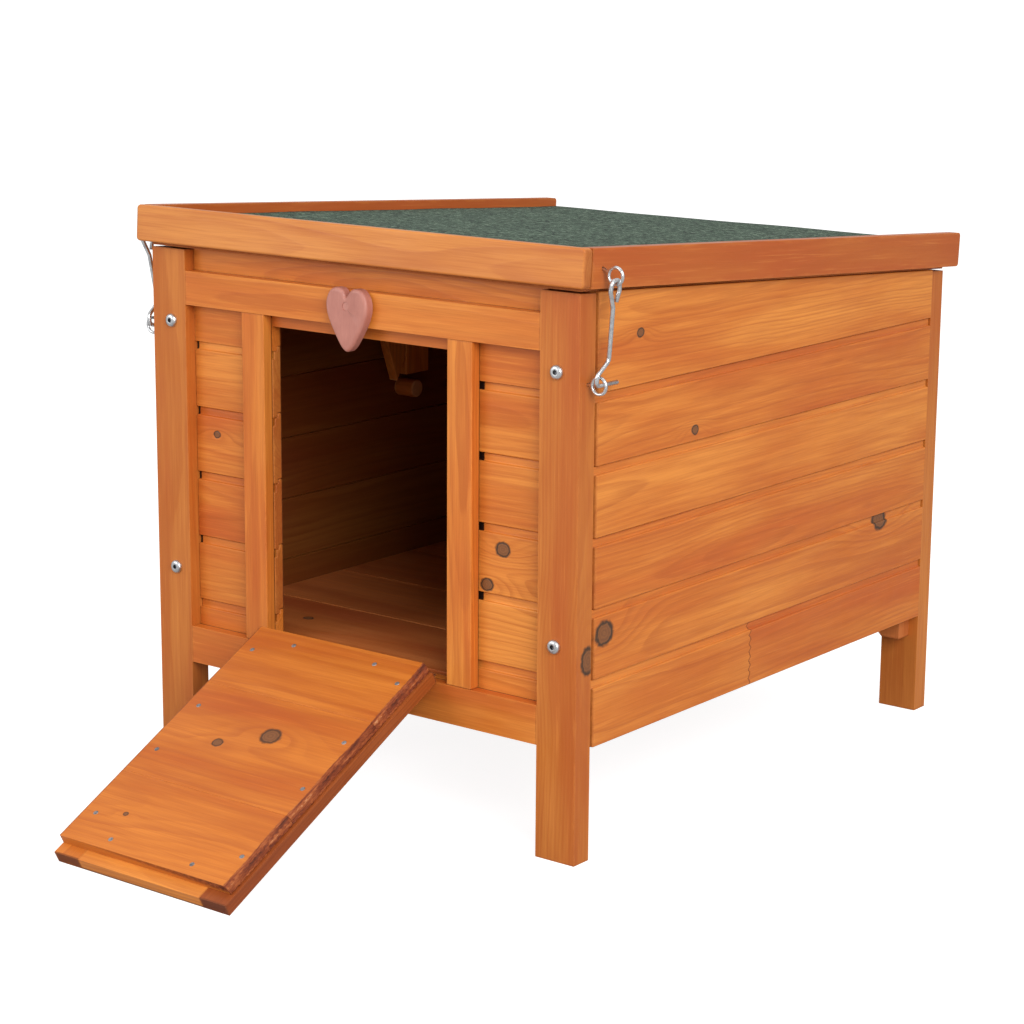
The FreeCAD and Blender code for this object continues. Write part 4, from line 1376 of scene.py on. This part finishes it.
def fixing_tree() -> bpy.types.NodeTree:
    """Set a head on every point, turned to the point's facing and spun by chance.

    Returns:
        The group.
    """
    tree = bpy.data.node_groups.new("Set fixings", "GeometryNodeTree")
    for title, kind, way in (
        ("Geometry", "Geometry", "INPUT"),
        ("Head", "Object", "INPUT"),
        ("Spin", "Float", "INPUT"),
        ("Scale", "Float", "INPUT"),
        ("Seed", "Int", "INPUT"),
        ("Material", "Material", "INPUT"),
        ("Geometry", "Geometry", "OUTPUT"),
    ):
        tree.interface.new_socket(name=title, in_out=way, socket_type=f"NodeSocket{kind}")
    net, given, result = inside(tree)
    head = net.node("GeometryNodeObjectInfo")
    net.put(head.inputs["Object"], given["Head"])
    facing = net.node("GeometryNodeInputNamedAttribute", data_type="FLOAT_VECTOR")
    facing.inputs["Name"].default_value = "facing"
    align = net.node("FunctionNodeAlignRotationToVector", axis="Z")
    net.put(align.inputs["Vector"], facing.outputs["Attribute"])
    chance = net.node("FunctionNodeRandomValue", data_type="FLOAT")
    net.put(chance.inputs[3], given["Spin"])
    net.put(chance.inputs["Seed"], given["Seed"])
    spin = net.node("FunctionNodeAxisAngleToRotation")
    net.put(spin.inputs["Angle"], chance.outputs[1])
    turned = net.node("FunctionNodeRotateRotation", rotation_space="LOCAL")
    net.put(turned.inputs[0], align.outputs[0])
    net.put(turned.inputs[1], spin.outputs[0])
    place = net.node("GeometryNodeInstanceOnPoints")
    net.put(place.inputs["Points"], given[0])
    net.put(place.inputs["Instance"], head.outputs["Geometry"])
    net.put(place.inputs["Rotation"], turned.outputs[0])
    net.put(place.inputs["Scale"], given["Scale"])
    real = net.node("GeometryNodeRealizeInstances")
    net.put(real.inputs[0], place.outputs[0])
    paint = net.node("GeometryNodeSetMaterial")
    net.put(paint.inputs["Geometry"], real.outputs[0])
    net.put(paint.inputs["Material"], given["Material"])
    net.put(result[0], paint.outputs[0])
    return tree


@dataclass
class Fixings:
    """Sets the heads of a node's bolts, screws or nails where the CAD has them."""

    tree: bpy.types.NodeTree = field(default_factory=fixing_tree)
    seed: int = 11

    @staticmethod
    def seats(node: str, facing: Vector, sink: float) -> list[Vector]:
        """Where each fixing's head starts: the middle of its end that looks the given way.

        Args:
            node: the CAD node of the fixings.
            facing: the way.
            sink: how far below the top the head starts.

        Returns:
            One place for each fixing.
        """
        mesh = merged_copy(node)
        points = coordinates(mesh)
        out = np.array(facing.normalized())
        side = np.array(facing.orthogonal().normalized())
        other = np.cross(out, side)
        found = []
        for group in loose_parts(mesh):
            own = points[group]
            height = (own @ out).max() - sink
            top = own[own @ out > height + sink - 0.0006]
            middle = [(top @ axis).max() / 2 + (top @ axis).min() / 2 for axis in (side, other)]
            found.append(Vector(out * height + side * middle[0] + other * middle[1]))
        bpy.data.meshes.remove(mesh)
        return found

    def place(
        self, name: str, seats: Sequence[tuple[Vector, Vector]], head: FixingHead, finish: Finish, spin: float
    ) -> bpy.types.Object:
        """Make one plain mesh of heads.

        Args:
            name: the new piece's name.
            seats: each head's seat and the way it looks.
            head: its shape.
            finish: its material.
            spin: the largest turn about its own axis, in radians.

        Returns:
            The piece, riding on nothing yet.
        """
        mesh = bpy.data.meshes.new(name)
        mesh.from_pydata([tuple(seat) for seat, _ in seats], [], [])
        set_attribute(mesh, "facing", np.array([tuple(way) for _, way in seats]))
        piece = new_piece(name, mesh)
        shape = new_piece(head.name, head.mesh())
        modifier = piece.modifiers.new("fixings", "NODES")
        modifier.node_group = self.tree
        sockets = [item for item in self.tree.interface.items_tree if item.in_out == "INPUT"]
        keys = {item.name: item.identifier for item in sockets}
        modifier[keys["Head"]] = shape
        modifier[keys["Spin"]] = spin
        modifier[keys["Scale"]] = 1.0
        modifier[keys["Seed"]] = self.seed
        modifier[keys["Material"]] = finish.material
        apply_modifiers(piece)
        bpy.data.objects.remove(shape)
        return piece

    def set_node(
        self, body: str, node: str, facings: Sequence[Vector], head: FixingHead,
        finish: Finish, slot: str, spin: float, sink: float,
    ) -> None:
        """Replace a node of fixings by heads, where each looks the way of its nearest facing.

        Args:
            body: the CAD body that they ride on.
            node: the CAD node that they replace.
            facings: the ways that heads look.
            head: their shape.
            finish: their finish.
            slot: their material slot; not used.
            spin: the largest turn about their own axis, in radians.
            sink: how far below the top they start.
        """
        seats: list[tuple[Vector, Vector]] = []
        for facing in facings:
            found = self.seats(node, facing, sink)
            middle = sum((seat.dot(facing) for seat in found), 0.0) / len(found)
            seats += [(seat, facing) for seat in found if len(facings) == 1 or seat.dot(facing) > middle]
        piece = self.place(f"heads_{node}", seats, head, finish, spin)
        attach(piece, body)
        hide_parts(node)
        LOG.info("%s: %d heads on %s", piece.name, len(seats), body)


# Sub-assemblies


@dataclass
class SubAssembly:
    """What every sub-assembly of the hutch is built with."""

    joiner: Joiner
    fixings: Fixings
    finishes: Finishes

    def boards(self, body: str, nodes: Sequence[str], cut: Cut) -> None:
        """Make the boards of several nodes, sawn alike.

        Args:
            body: the CAD body that they ride on.
            nodes: the CAD nodes that they replace.
            cut: how they are sawn and finished.
        """
        for node in nodes:
            self.joiner.board(body, node, cut)

    def metal(self, pairs: Sequence[tuple[str, str]], finish: Finish, slot: str, angle: float = 40.0) -> None:
        """Make several bent or turned nodes, finished alike.

        Args:
            pairs: the CAD body and the CAD node of each.
            finish: their finish.
            slot: their material slot.
            angle: edges sharper than this, in degrees, stay sharp.
        """
        for body, node in pairs:
            self.joiner.smooth(body, node, finish, slot, angle)


@dataclass
class Posts(SubAssembly):
    """The four corner posts with their bolts."""

    bolt_radius: float = 0.0052
    bolt_height: float = 0.0028
    side_knot: Knot = Knot((0.203, -0.131, 0.1475), 0.0078)

    def build(self) -> None:
        """Make the posts and set the bolts."""
        finish = self.finishes.post
        cut = Cut(Lay.UPRIGHT, finish, "post_pine", edge=0.0011, stray_knots=0.2, pith=(0.02, 0.05))
        self.boards("hut", ("post_front_left", "post_rear_left", "post_rear_right"), cut)
        knotty = Cut(Lay.UPRIGHT_SIDE, finish, "post_pine", (self.side_knot,), edge=0.0011, pith=(0.02, 0.05))
        self.joiner.board("hut", "post_front_right", knotty)
        head = FixingHead("bolt_head", self.bolt_radius, self.bolt_height, Recess.HEX, 0.0018, 0.0018, 0.8)
        facings = (Vector(FRONT), Vector(BACK))
        self.fixings.set_node(
            "hut", "post_bolts", facings, head, self.finishes.bolt, "bolt_steel", math.pi, self.bolt_height
        )


@dataclass
class FrontWall(SubAssembly):
    """Rails, door stiles and the boards behind them."""

    knots: tuple[Knot, ...] = (
        Knot((0.1306, -0.131, 0.217), 0.0050),
        Knot((0.1165, -0.131, 0.1894), 0.0045),
    )
    head_tone: float = 0.2
    top_rail_tone: float = 0.0
    left_tones: tuple[float, ...] = (-0.3, -0.5, -0.3, 0.5)
    right_tones: tuple[float, ...] = (1.3, 0.0, 0.1, 0.3)

    def build(self) -> None:
        """Make every piece of the front wall."""
        wall = self.finishes.wall
        across = Cut(Lay.ACROSS_FRONT, wall, "varnished_pine", self.knots, stray_knots=0.25)
        self.boards("hut", ("front_bottom_rail", "front_bottom_board", "front_header_board"), across)
        rail = Cut(Lay.ACROSS_FRONT, wall, "varnished_pine", stray_knots=0.0, tones=(self.top_rail_tone,))
        self.joiner.board("hut", "front_top_rail", rail)
        head = Cut(Lay.ACROSS_FRONT, wall, "varnished_pine", stray_knots=0.0, tones=(self.head_tone,))
        self.joiner.board("hut", "front_head_board", head)
        # The painted shade at the step ends starts at the post's and the stile's edge.
        post_edge = float(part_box("post_front_left")[1][0])
        stile_edge = float(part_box("door_stile_right")[1][0])
        for node, tones, edge in (
            ("front_left_boards", self.left_tones, post_edge),
            ("front_right_boards", self.right_tones, stile_edge),
        ):
            cut = Cut(Lay.ACROSS_FRONT, wall, "varnished_pine", self.knots, tones=tones, groove_end=edge)
            self.joiner.board("hut", node, cut)
        upright = Cut(Lay.UPRIGHT, wall, "varnished_pine", stray_knots=0.1, tones=(0.15,))
        self.boards("hut", ("door_stile_left", "door_stile_right"), upright)


@dataclass
class SideAndRearWalls(SubAssembly):
    """Tongued boards of the sides and the rear, with the cleats behind the posts."""

    right_knots: tuple[Knot, ...] = (
        Knot((0.204, -0.115, 0.164), 0.0082),
        Knot((0.204, 0.268, 0.179), 0.0080),
        Knot((0.204, -0.077, 0.372), 0.0032),
        Knot((0.204, -0.006, 0.293), 0.0034),
    )
    right_tones: tuple[float, ...] = (0.25, 0.05, -0.25, 0.1, -0.15, -0.2)
    finger_joint: Point = (0.204, 0.073, 0.11)
    end_gap: float = 0.0014

    def build(self) -> None:
        """Make the walls."""
        wall = self.finishes.wall
        right = Cut(
            Lay.ALONG_SIDE, wall, "varnished_pine", self.right_knots, self.finger_joint,
            tones=self.right_tones, stray_knots=0.0, pith=(0.004, 0.018), end_gap=self.end_gap,
        )
        self.joiner.board("hut", "right_side_boards", right)
        left = Cut(Lay.ALONG_LEFT_SIDE, wall, "varnished_pine", stray_knots=0.6, end_gap=self.end_gap)
        self.joiner.board("hut", "left_side_boards", left)
        rear = Cut(Lay.ACROSS_REAR, wall, "varnished_pine", stray_knots=0.6)
        self.boards("hut", ("rear_boards", "rear_top_rail", "rear_bottom_rail"), rear)
        cleat = Cut(Lay.UPRIGHT, self.finishes.inner, "inner_pine")
        self.boards("hut", ("left_corner_cleats", "right_corner_cleats"), cleat)


@dataclass
class Floor(SubAssembly):
    """Floor boards on two bearers."""

    def build(self) -> None:
        """Make the floor."""
        boards = Cut(Lay.FLOOR, self.finishes.inner, "inner_pine", stray_knots=0.6, edge=0.0007)
        self.joiner.board("hut", "floor_boards", boards)
        self.joiner.board("hut", "floor_bearers", Cut(Lay.ALONG_SIDE, self.finishes.inner, "inner_pine"))


@dataclass
class Roof(SubAssembly):
    """Fascia, side trims, frame, deck and felt, which lift together."""

    nail_inset: tuple[float, float] = (0.0025, 0.0050)
    nail_heights: tuple[float, float] = (0.0165, 0.0090)
    felt_steps: tuple[int, int] = (90, 72)
    felt_drop: float = 0.00035
    felt_ripple: float = 0.0002
    felt_thinner: float = 0.0012

    def build(self) -> None:
        """Make the roof."""
        trim = self.finishes.trim
        front = Cut(Lay.ROOF_FRONT, trim, "varnished_pine", edge=0.0016, stray_knots=0.2)
        self.joiner.board("roof", "front_fascia", front)
        sides = Cut(Lay.ROOF_SIDE, trim, "varnished_pine", edge=0.0016, stray_knots=0.2, tones=(-1.0,))
        self.boards("roof", ("side_trim_left", "side_trim_right"), sides)
        self.joiner.board("roof", "roof_frame", Cut(Lay.ROOF_DECK, self.finishes.inner, "inner_pine"))
        self.joiner.board("roof", "roof_deck", Cut(Lay.ROOF_DECK, self.finishes.inner, "inner_pine"))
        self.lay_felt()
        self.nail_fascia()

    def swell(self, along: float, across: float) -> float:
        """How far the felt rises at a place, as a share of its largest ripple."""
        broad = math.sin(along * 37 + 1.3) * math.sin(across * 29 + 0.4)
        return broad + 0.6 * math.sin(along * 71 + across * 53)

    def lay_felt(self) -> None:
        """Cover the deck with felt that lies a little unevenly."""
        low, high = extent("roof_felt", Lay.ROOF_DECK)
        axes = Lay.ROOF_DECK.matrix()
        along = np.linspace(low[0], high[0], self.felt_steps[0])
        across = np.linspace(low[1], high[1], self.felt_steps[1])
        points, faces = [], []
        for row, u in enumerate(along):
            for column, v in enumerate(across):
                points.append((u, v, high[2] - self.felt_drop + self.swell(u, v) * self.felt_ripple))
                if row and column:
                    here = row * len(across) + column
                    faces.append((here, here - 1, here - len(across) - 1, here - len(across)))
        mesh = bpy.data.meshes.new("felt_roof_felt")
        mesh.from_pydata([tuple(np.array(point) @ axes) for point in points], [], faces)
        piece = new_piece("felt_roof_felt", mesh)
        thick = piece.modifiers.new("thickness", "SOLIDIFY")
        thick.thickness = high[2] - low[2] - self.felt_thinner
        thick.offset = 1.0
        with reshaped(mesh) as work:
            bmesh.ops.recalc_face_normals(work, faces=work.faces)
            if sum((face.normal.z for face in work.faces), 0.0) > 0:
                bmesh.ops.reverse_faces(work, faces=work.faces)
        mesh.shade_smooth()
        apply_modifiers(piece)
        Joiner.hand_over(piece, "roof", "roof_felt", self.finishes.felt, "roof_felt")

    def nail_fascia(self) -> None:
        """Drive two small nails through each end of the fascia into the side trims."""
        low, high = extent("front_fascia", Lay.ROOF_FRONT)
        axes = Lay.ROOF_FRONT.matrix()
        out = Vector(axes[2])
        seats = []
        for side in (-1, 1):
            for inset, height in zip(self.nail_inset, self.nail_heights):
                x = high[0] - inset if side > 0 else low[0] + inset
                seats.append((Vector(np.array([x, low[1] + height, high[2] - 0.0003]) @ axes), out))
        head = FixingHead("fascia_nail_head", 0.0009, 0.0002, dome=0.5, sides=12)
        piece = self.fixings.place("nails_front_fascia", seats, head, self.finishes.nail, 0.0)
        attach(piece, "roof")


@dataclass
class Ramp(SubAssembly):
    """Ramp door: a frame with three cross boards, whose right edge keeps the log's own edge."""

    sections: int = 64
    wane_top: float = 0.0060
    wane_foot: float = 0.0012
    seam: float = 0.00012
    ease: float = 0.0004
    knot_spots: tuple[tuple[float, float, float], ...] = (
        (0.0064, 0.1011, 0.0068),
        (-0.0309, 0.1188, 0.0036),
        (-0.0501, 0.2016, 0.0018),
    )

    def build(self) -> None:
        """Make the ramp."""
        ramp = self.finishes.ramp
        for node, finish in (("ramp_stile_left", ramp), ("ramp_stile_right", self.finishes.dark)):
            self.joiner.board("ramp", node, Cut(Lay.DOWN_RAMP, finish, "ramp_pine", stray_knots=0.2))
        for node in ("ramp_hinge_rail", "ramp_free_rail"):
            rail = Cut(Lay.ACROSS_RAMP, self.finishes.wall, "ramp_pine", tones=(1.2,), stray_knots=0.0)
            self.joiner.board("ramp", node, rail)
        for node in ("ramp_board_hinge_end", "ramp_board_middle", "ramp_board_free_end"):
            self.board(node)
        out = Vector(Lay.DOWN_RAMP.value[2])
        head = FixingHead("ramp_nail_head", 0.0019, 0.0003, dome=0.8, sides=16)
        self.fixings.set_node("ramp", "ramp_nails", (out,), head, self.finishes.nail, "nail_steel", 0.0, 0.0)

    def knots_here(self) -> tuple[Knot, ...]:
        """Knots given by their place across and down the ramp, as places on the hutch.

        Returns:
            The knots.
        """
        low, high = extent("ramp_board_hinge_end", Lay.ACROSS_RAMP)
        axes = Lay.ACROSS_RAMP.matrix()
        top = (low[2] + high[2]) / 2
        found = []
        for x, down, radius in self.knot_spots:
            place = np.array([x, low[1] + down, top]) @ axes
            found.append(Knot((float(place[0]), float(place[1]), float(place[2])), radius))
        return tuple(found)

    def wane(self, down: float) -> tuple[float, float]:
        """How far the log's own edge stands back from the board's, at one place down the ramp.

        Args:
            down: the place.

        Returns:
            The distances at the board's upper and lower face.
        """
        ragged = 0.5 + 0.3 * math.sin(down * 26 + 0.6) + 0.2 * math.sin(down * 97 + 1.9)
        fine = math.sin(down * 977) * 0.4 + math.sin(down * 1831 + 2.0) * 0.3
        top = self.wane_top * (0.55 + 0.45 * ragged) + fine * 0.0004
        foot = self.wane_foot * (0.6 + 0.8 * ragged) + 0.0003 * (1 + math.sin(down * 1300))
        return top, foot

    def board(self, node: str) -> None:
        """Loft one cross board, wavy along its right edge.

        Args:
            node: the board's CAD node.
        """
        low, high = extent(node, Lay.ACROSS_RAMP)
        axes = Lay.ACROSS_RAMP.matrix()
        ease = self.ease
        low[1] -= self.seam
        high[1] += self.seam
        rings, bark = [], []
        stations = [low[1], low[1] + ease * 0.3, low[1] + ease]
        stations += list(np.linspace(low[1] + 2 * ease, high[1] - 2 * ease, self.sections))
        stations += [high[1] - ease, high[1] - ease * 0.3, high[1]]
        for index, down in enumerate(stations):
            edge = min(index, len(stations) - 1 - index)
            tuck = (ease, ease * 0.3, 0.0)[min(edge, 2)]
            top, foot = self.wane(down)
            left, right, under, over = low[0] + tuck, high[0] - tuck, low[2] + tuck, high[2] - tuck
            span = over - under
            outline = [
                (left + ease, over, 0), (left + ease * 0.3, over - ease * 0.3, 0), (left, over - ease, 0),
                (left, under + ease, 0), (left + ease, under, 0),
                (right - foot - 0.0006, under, 0), (right - foot, under + 0.0004, 1),
                (right - foot - 0.0003 - 0.0006 * math.sin(down * 760), under + span * 0.22, 1),
                (right - foot * 0.6 - top * 0.28, under + span * 0.45, 1),
                (right - top * 0.62 + 0.0005 * math.sin(down * 1130), under + span * 0.70, 1),
                (right - top * 0.86, under + span * 0.90, 1), (right - top, over - 0.0001, 1),
                (right - top - 0.0006, over, 0),
            ]
            rings.append(np.array([(x, down, height) for x, height, _ in outline]) @ axes)
            bark += [mark for _, _, mark in outline]
        mesh = ring_mesh(f"pine_{node}", rings, True, True)
        piece = new_piece(f"pine_{node}", mesh)
        mesh.shade_smooth()
        mesh.set_sharp_from_angle(angle=math.radians(50))
        normals = piece.modifiers.new("flat", "WEIGHTED_NORMAL")
        normals.keep_sharp = True
        set_attribute(mesh, "bark", np.array(bark, float))
        apply_modifiers(piece)
        tone = {"ramp_board_middle": -0.15, "ramp_board_hinge_end": -0.1}.get(node, 0.5)
        cut = Cut(
            Lay.ACROSS_RAMP, self.finishes.ramp, "ramp_pine", self.knots_here(),
            stray_knots=0.0, pith=(0.02, 0.05), tones=(tone,),
        )
        self.joiner.saw(piece, node, cut)
        Joiner.hand_over(piece, "ramp", node, self.finishes.ramp, "ramp_pine")


@dataclass
class Hinges(SubAssembly):
    """Leaves, pins and screws of the roof's and the ramp's hinges."""

    screw_sink: float = 0.00025

    def build(self) -> None:
        """Make the hinges."""
        plate = self.finishes.hinge
        leaves_and_pins = (
            ("hut", "roof_hinge_lower_leaves"),
            ("roof", "roof_hinge_upper_leaves"),
            ("roof", "roof_hinge_pins"),
            ("hut", "ramp_hinge_sill_leaves"),
            ("ramp", "ramp_hinge_door_leaves"),
            ("ramp", "ramp_hinge_pins"),
        )
        self.metal(leaves_and_pins, plate, "zinc_hinge")
        head = FixingHead("hinge_screw_head", 0.0028, 0.00015, Recess.CROSS, 0.0016, 0.0010, 0.5, 16)
        for body, node, out in (
            ("hut", "roof_hinge_lower_screws", BACK),
            ("roof", "roof_hinge_upper_screws", DOWN_ROOF),
            ("hut", "ramp_hinge_sill_screws", UP),
            ("ramp", "ramp_hinge_door_screws", UP_SLOPE),
        ):
            ways = (Vector(out),)
            self.fixings.set_node(body, node, ways, head, plate, "zinc_hinge", math.pi, self.screw_sink)


@dataclass
class Latches(SubAssembly):
    """Wire hooks with the screw eyes that they hang on and close into."""

    sharp: float = 70.0

    def build(self) -> None:
        """Make the latches."""
        wires = (
            ("hook_left_body", "hook_left"),
            ("hook_right_body", "hook_right"),
            ("roof", "hook_eye_left"),
            ("roof", "hook_eye_right"),
            ("hut", "latch_eye_left"),
            ("hut", "latch_eye_right"),
        )
        self.metal(wires, self.finishes.wire, "zinc_wire", self.sharp)


@dataclass
class HeartButton(SubAssembly):
    """Painted wooden heart that turns to hold the door shut."""

    def build(self) -> None:
        """Make the heart, its washer and the screw whose head is painted over with it."""
        piece = self.joiner.smooth("heart", "heart_button", self.finishes.paint, "heart_paint", 50.0)
        self.joiner.saw(piece, "heart_button", Cut(Lay.UPRIGHT, self.finishes.paint, "heart_paint"))
        self.joiner.smooth("hut", "heart_pivot_screw", self.finishes.paint, "zinc_hinge")
        self.joiner.smooth("hut", "heart_washer", self.finishes.hinge, "zinc_hinge")


@dataclass
class PropArm(SubAssembly):
    """Lath that hangs inside by the left wall, with the peg below it."""

    def build(self) -> None:
        """Make the arm, its pivot screw and the peg."""
        arm = Cut(Lay.UPRIGHT_SIDE, self.finishes.dowel, "inner_pine", stray_knots=0.0)
        self.joiner.board("prop", "prop_arm", arm)
        peg = Cut(
            Lay.FLOOR, self.finishes.dowel, "inner_pine", stray_knots=0.0, edge=0.0004, pith=(-0.008, -0.007)
        )
        self.joiner.board("hut", "prop_peg", peg)
        self.joiner.smooth("roof", "prop_pivot_screw", self.finishes.hinge, "zinc_hinge")


@dataclass
class Studio:
    """Pale floor, soft lights and the camera."""

    eye: Point = (1.23512, -1.55272, 0.64856)
    turn: Point = (77.3205, -0.4172, 37.8238)
    lens: float = 92.07
    floor_size: float = 60.0
    world_strength: float = 0.68
    world_seen: float = 1.05
    sensor: float = 36.0
    aim: Point = (0.0, 0.0, 0.2)
    lamps: tuple[tuple[str, Point, float, float], ...] = (
        ("key", (2.6, -1.7, 1.7), 1.8, 88.0),
        ("fill", (-1.7, -2.9, 1.3), 2.0, 38.0),
        ("top", (0.0, 0.4, 3.0), 2.5, 14.0),
    )

    def floor(self) -> None:
        """Lay the floor."""
        half = self.floor_size / 2
        mesh = bpy.data.meshes.new("studio_floor")
        corners = [(-half, -half, 0), (half, -half, 0), (half, half, 0), (-half, half, 0)]
        mesh.from_pydata(corners, [], [(0, 1, 2, 3)])
        piece = new_piece("studio_floor", mesh)
        mesh.materials.append(StudioWhite().material)

    def lamp(self, name: str, place: Point, size: float, power: float) -> None:
        """Hang one soft square lamp that looks at a point.

        Args:
            name: its name.
            place: where it hangs.
            size: its width.
            power: its power in watts.
        """
        data = bpy.data.lights.new(name, "AREA")
        data.size = size
        data.energy = power
        lamp = bpy.data.objects.new(name, data)
        lamp.location = place
        lamp.rotation_euler = (Vector(self.aim) - Vector(place)).to_track_quat("-Z", "Y").to_euler()
        bpy.context.scene.collection.objects.link(lamp)

    def build(self) -> None:
        """Set up the studio."""
        self.floor()
        world = bpy.data.worlds.new("studio")
        world.use_nodes = True
        net = Net(world.node_tree)
        background = world.node_tree.nodes["Background"]
        background.inputs[0].default_value = (1.0, 1.0, 1.0, 1.0)
        seen = net.node("ShaderNodeLightPath").outputs["Is Camera Ray"]
        net.put(background.inputs[1], net.range(seen, 0.0, 1.0, (self.world_strength, self.world_seen)))
        bpy.context.scene.world = world
        for lamp in self.lamps:
            self.lamp(*lamp)
        data = bpy.data.cameras.new("camera")
        data.lens = self.lens
        data.sensor_width = self.sensor
        data.clip_end = 100.0
        camera = bpy.data.objects.new("camera", data)
        camera.location = self.eye
        camera.rotation_euler = tuple(math.radians(angle) for angle in self.turn)
        bpy.context.scene.collection.objects.link(camera)
        bpy.context.scene.camera = camera
        bpy.context.scene.view_settings.view_transform = "Standard"


def main() -> None:
    """Build the hutch piece by piece."""
    logging.basicConfig(level=logging.INFO, format="%(message)s")
    finishes = Finishes()
    joiner = Joiner()
    fixings = Fixings()
    Studio().build()
    for kind in (
        Posts, FrontWall, SideAndRearWalls, Floor, Roof, Ramp, Hinges, Latches, HeartButton, PropArm
    ):
        LOG.info("building %s", kind.__name__)
        kind(joiner, fixings, finishes).build()


if __name__ == "__main__":
    main()
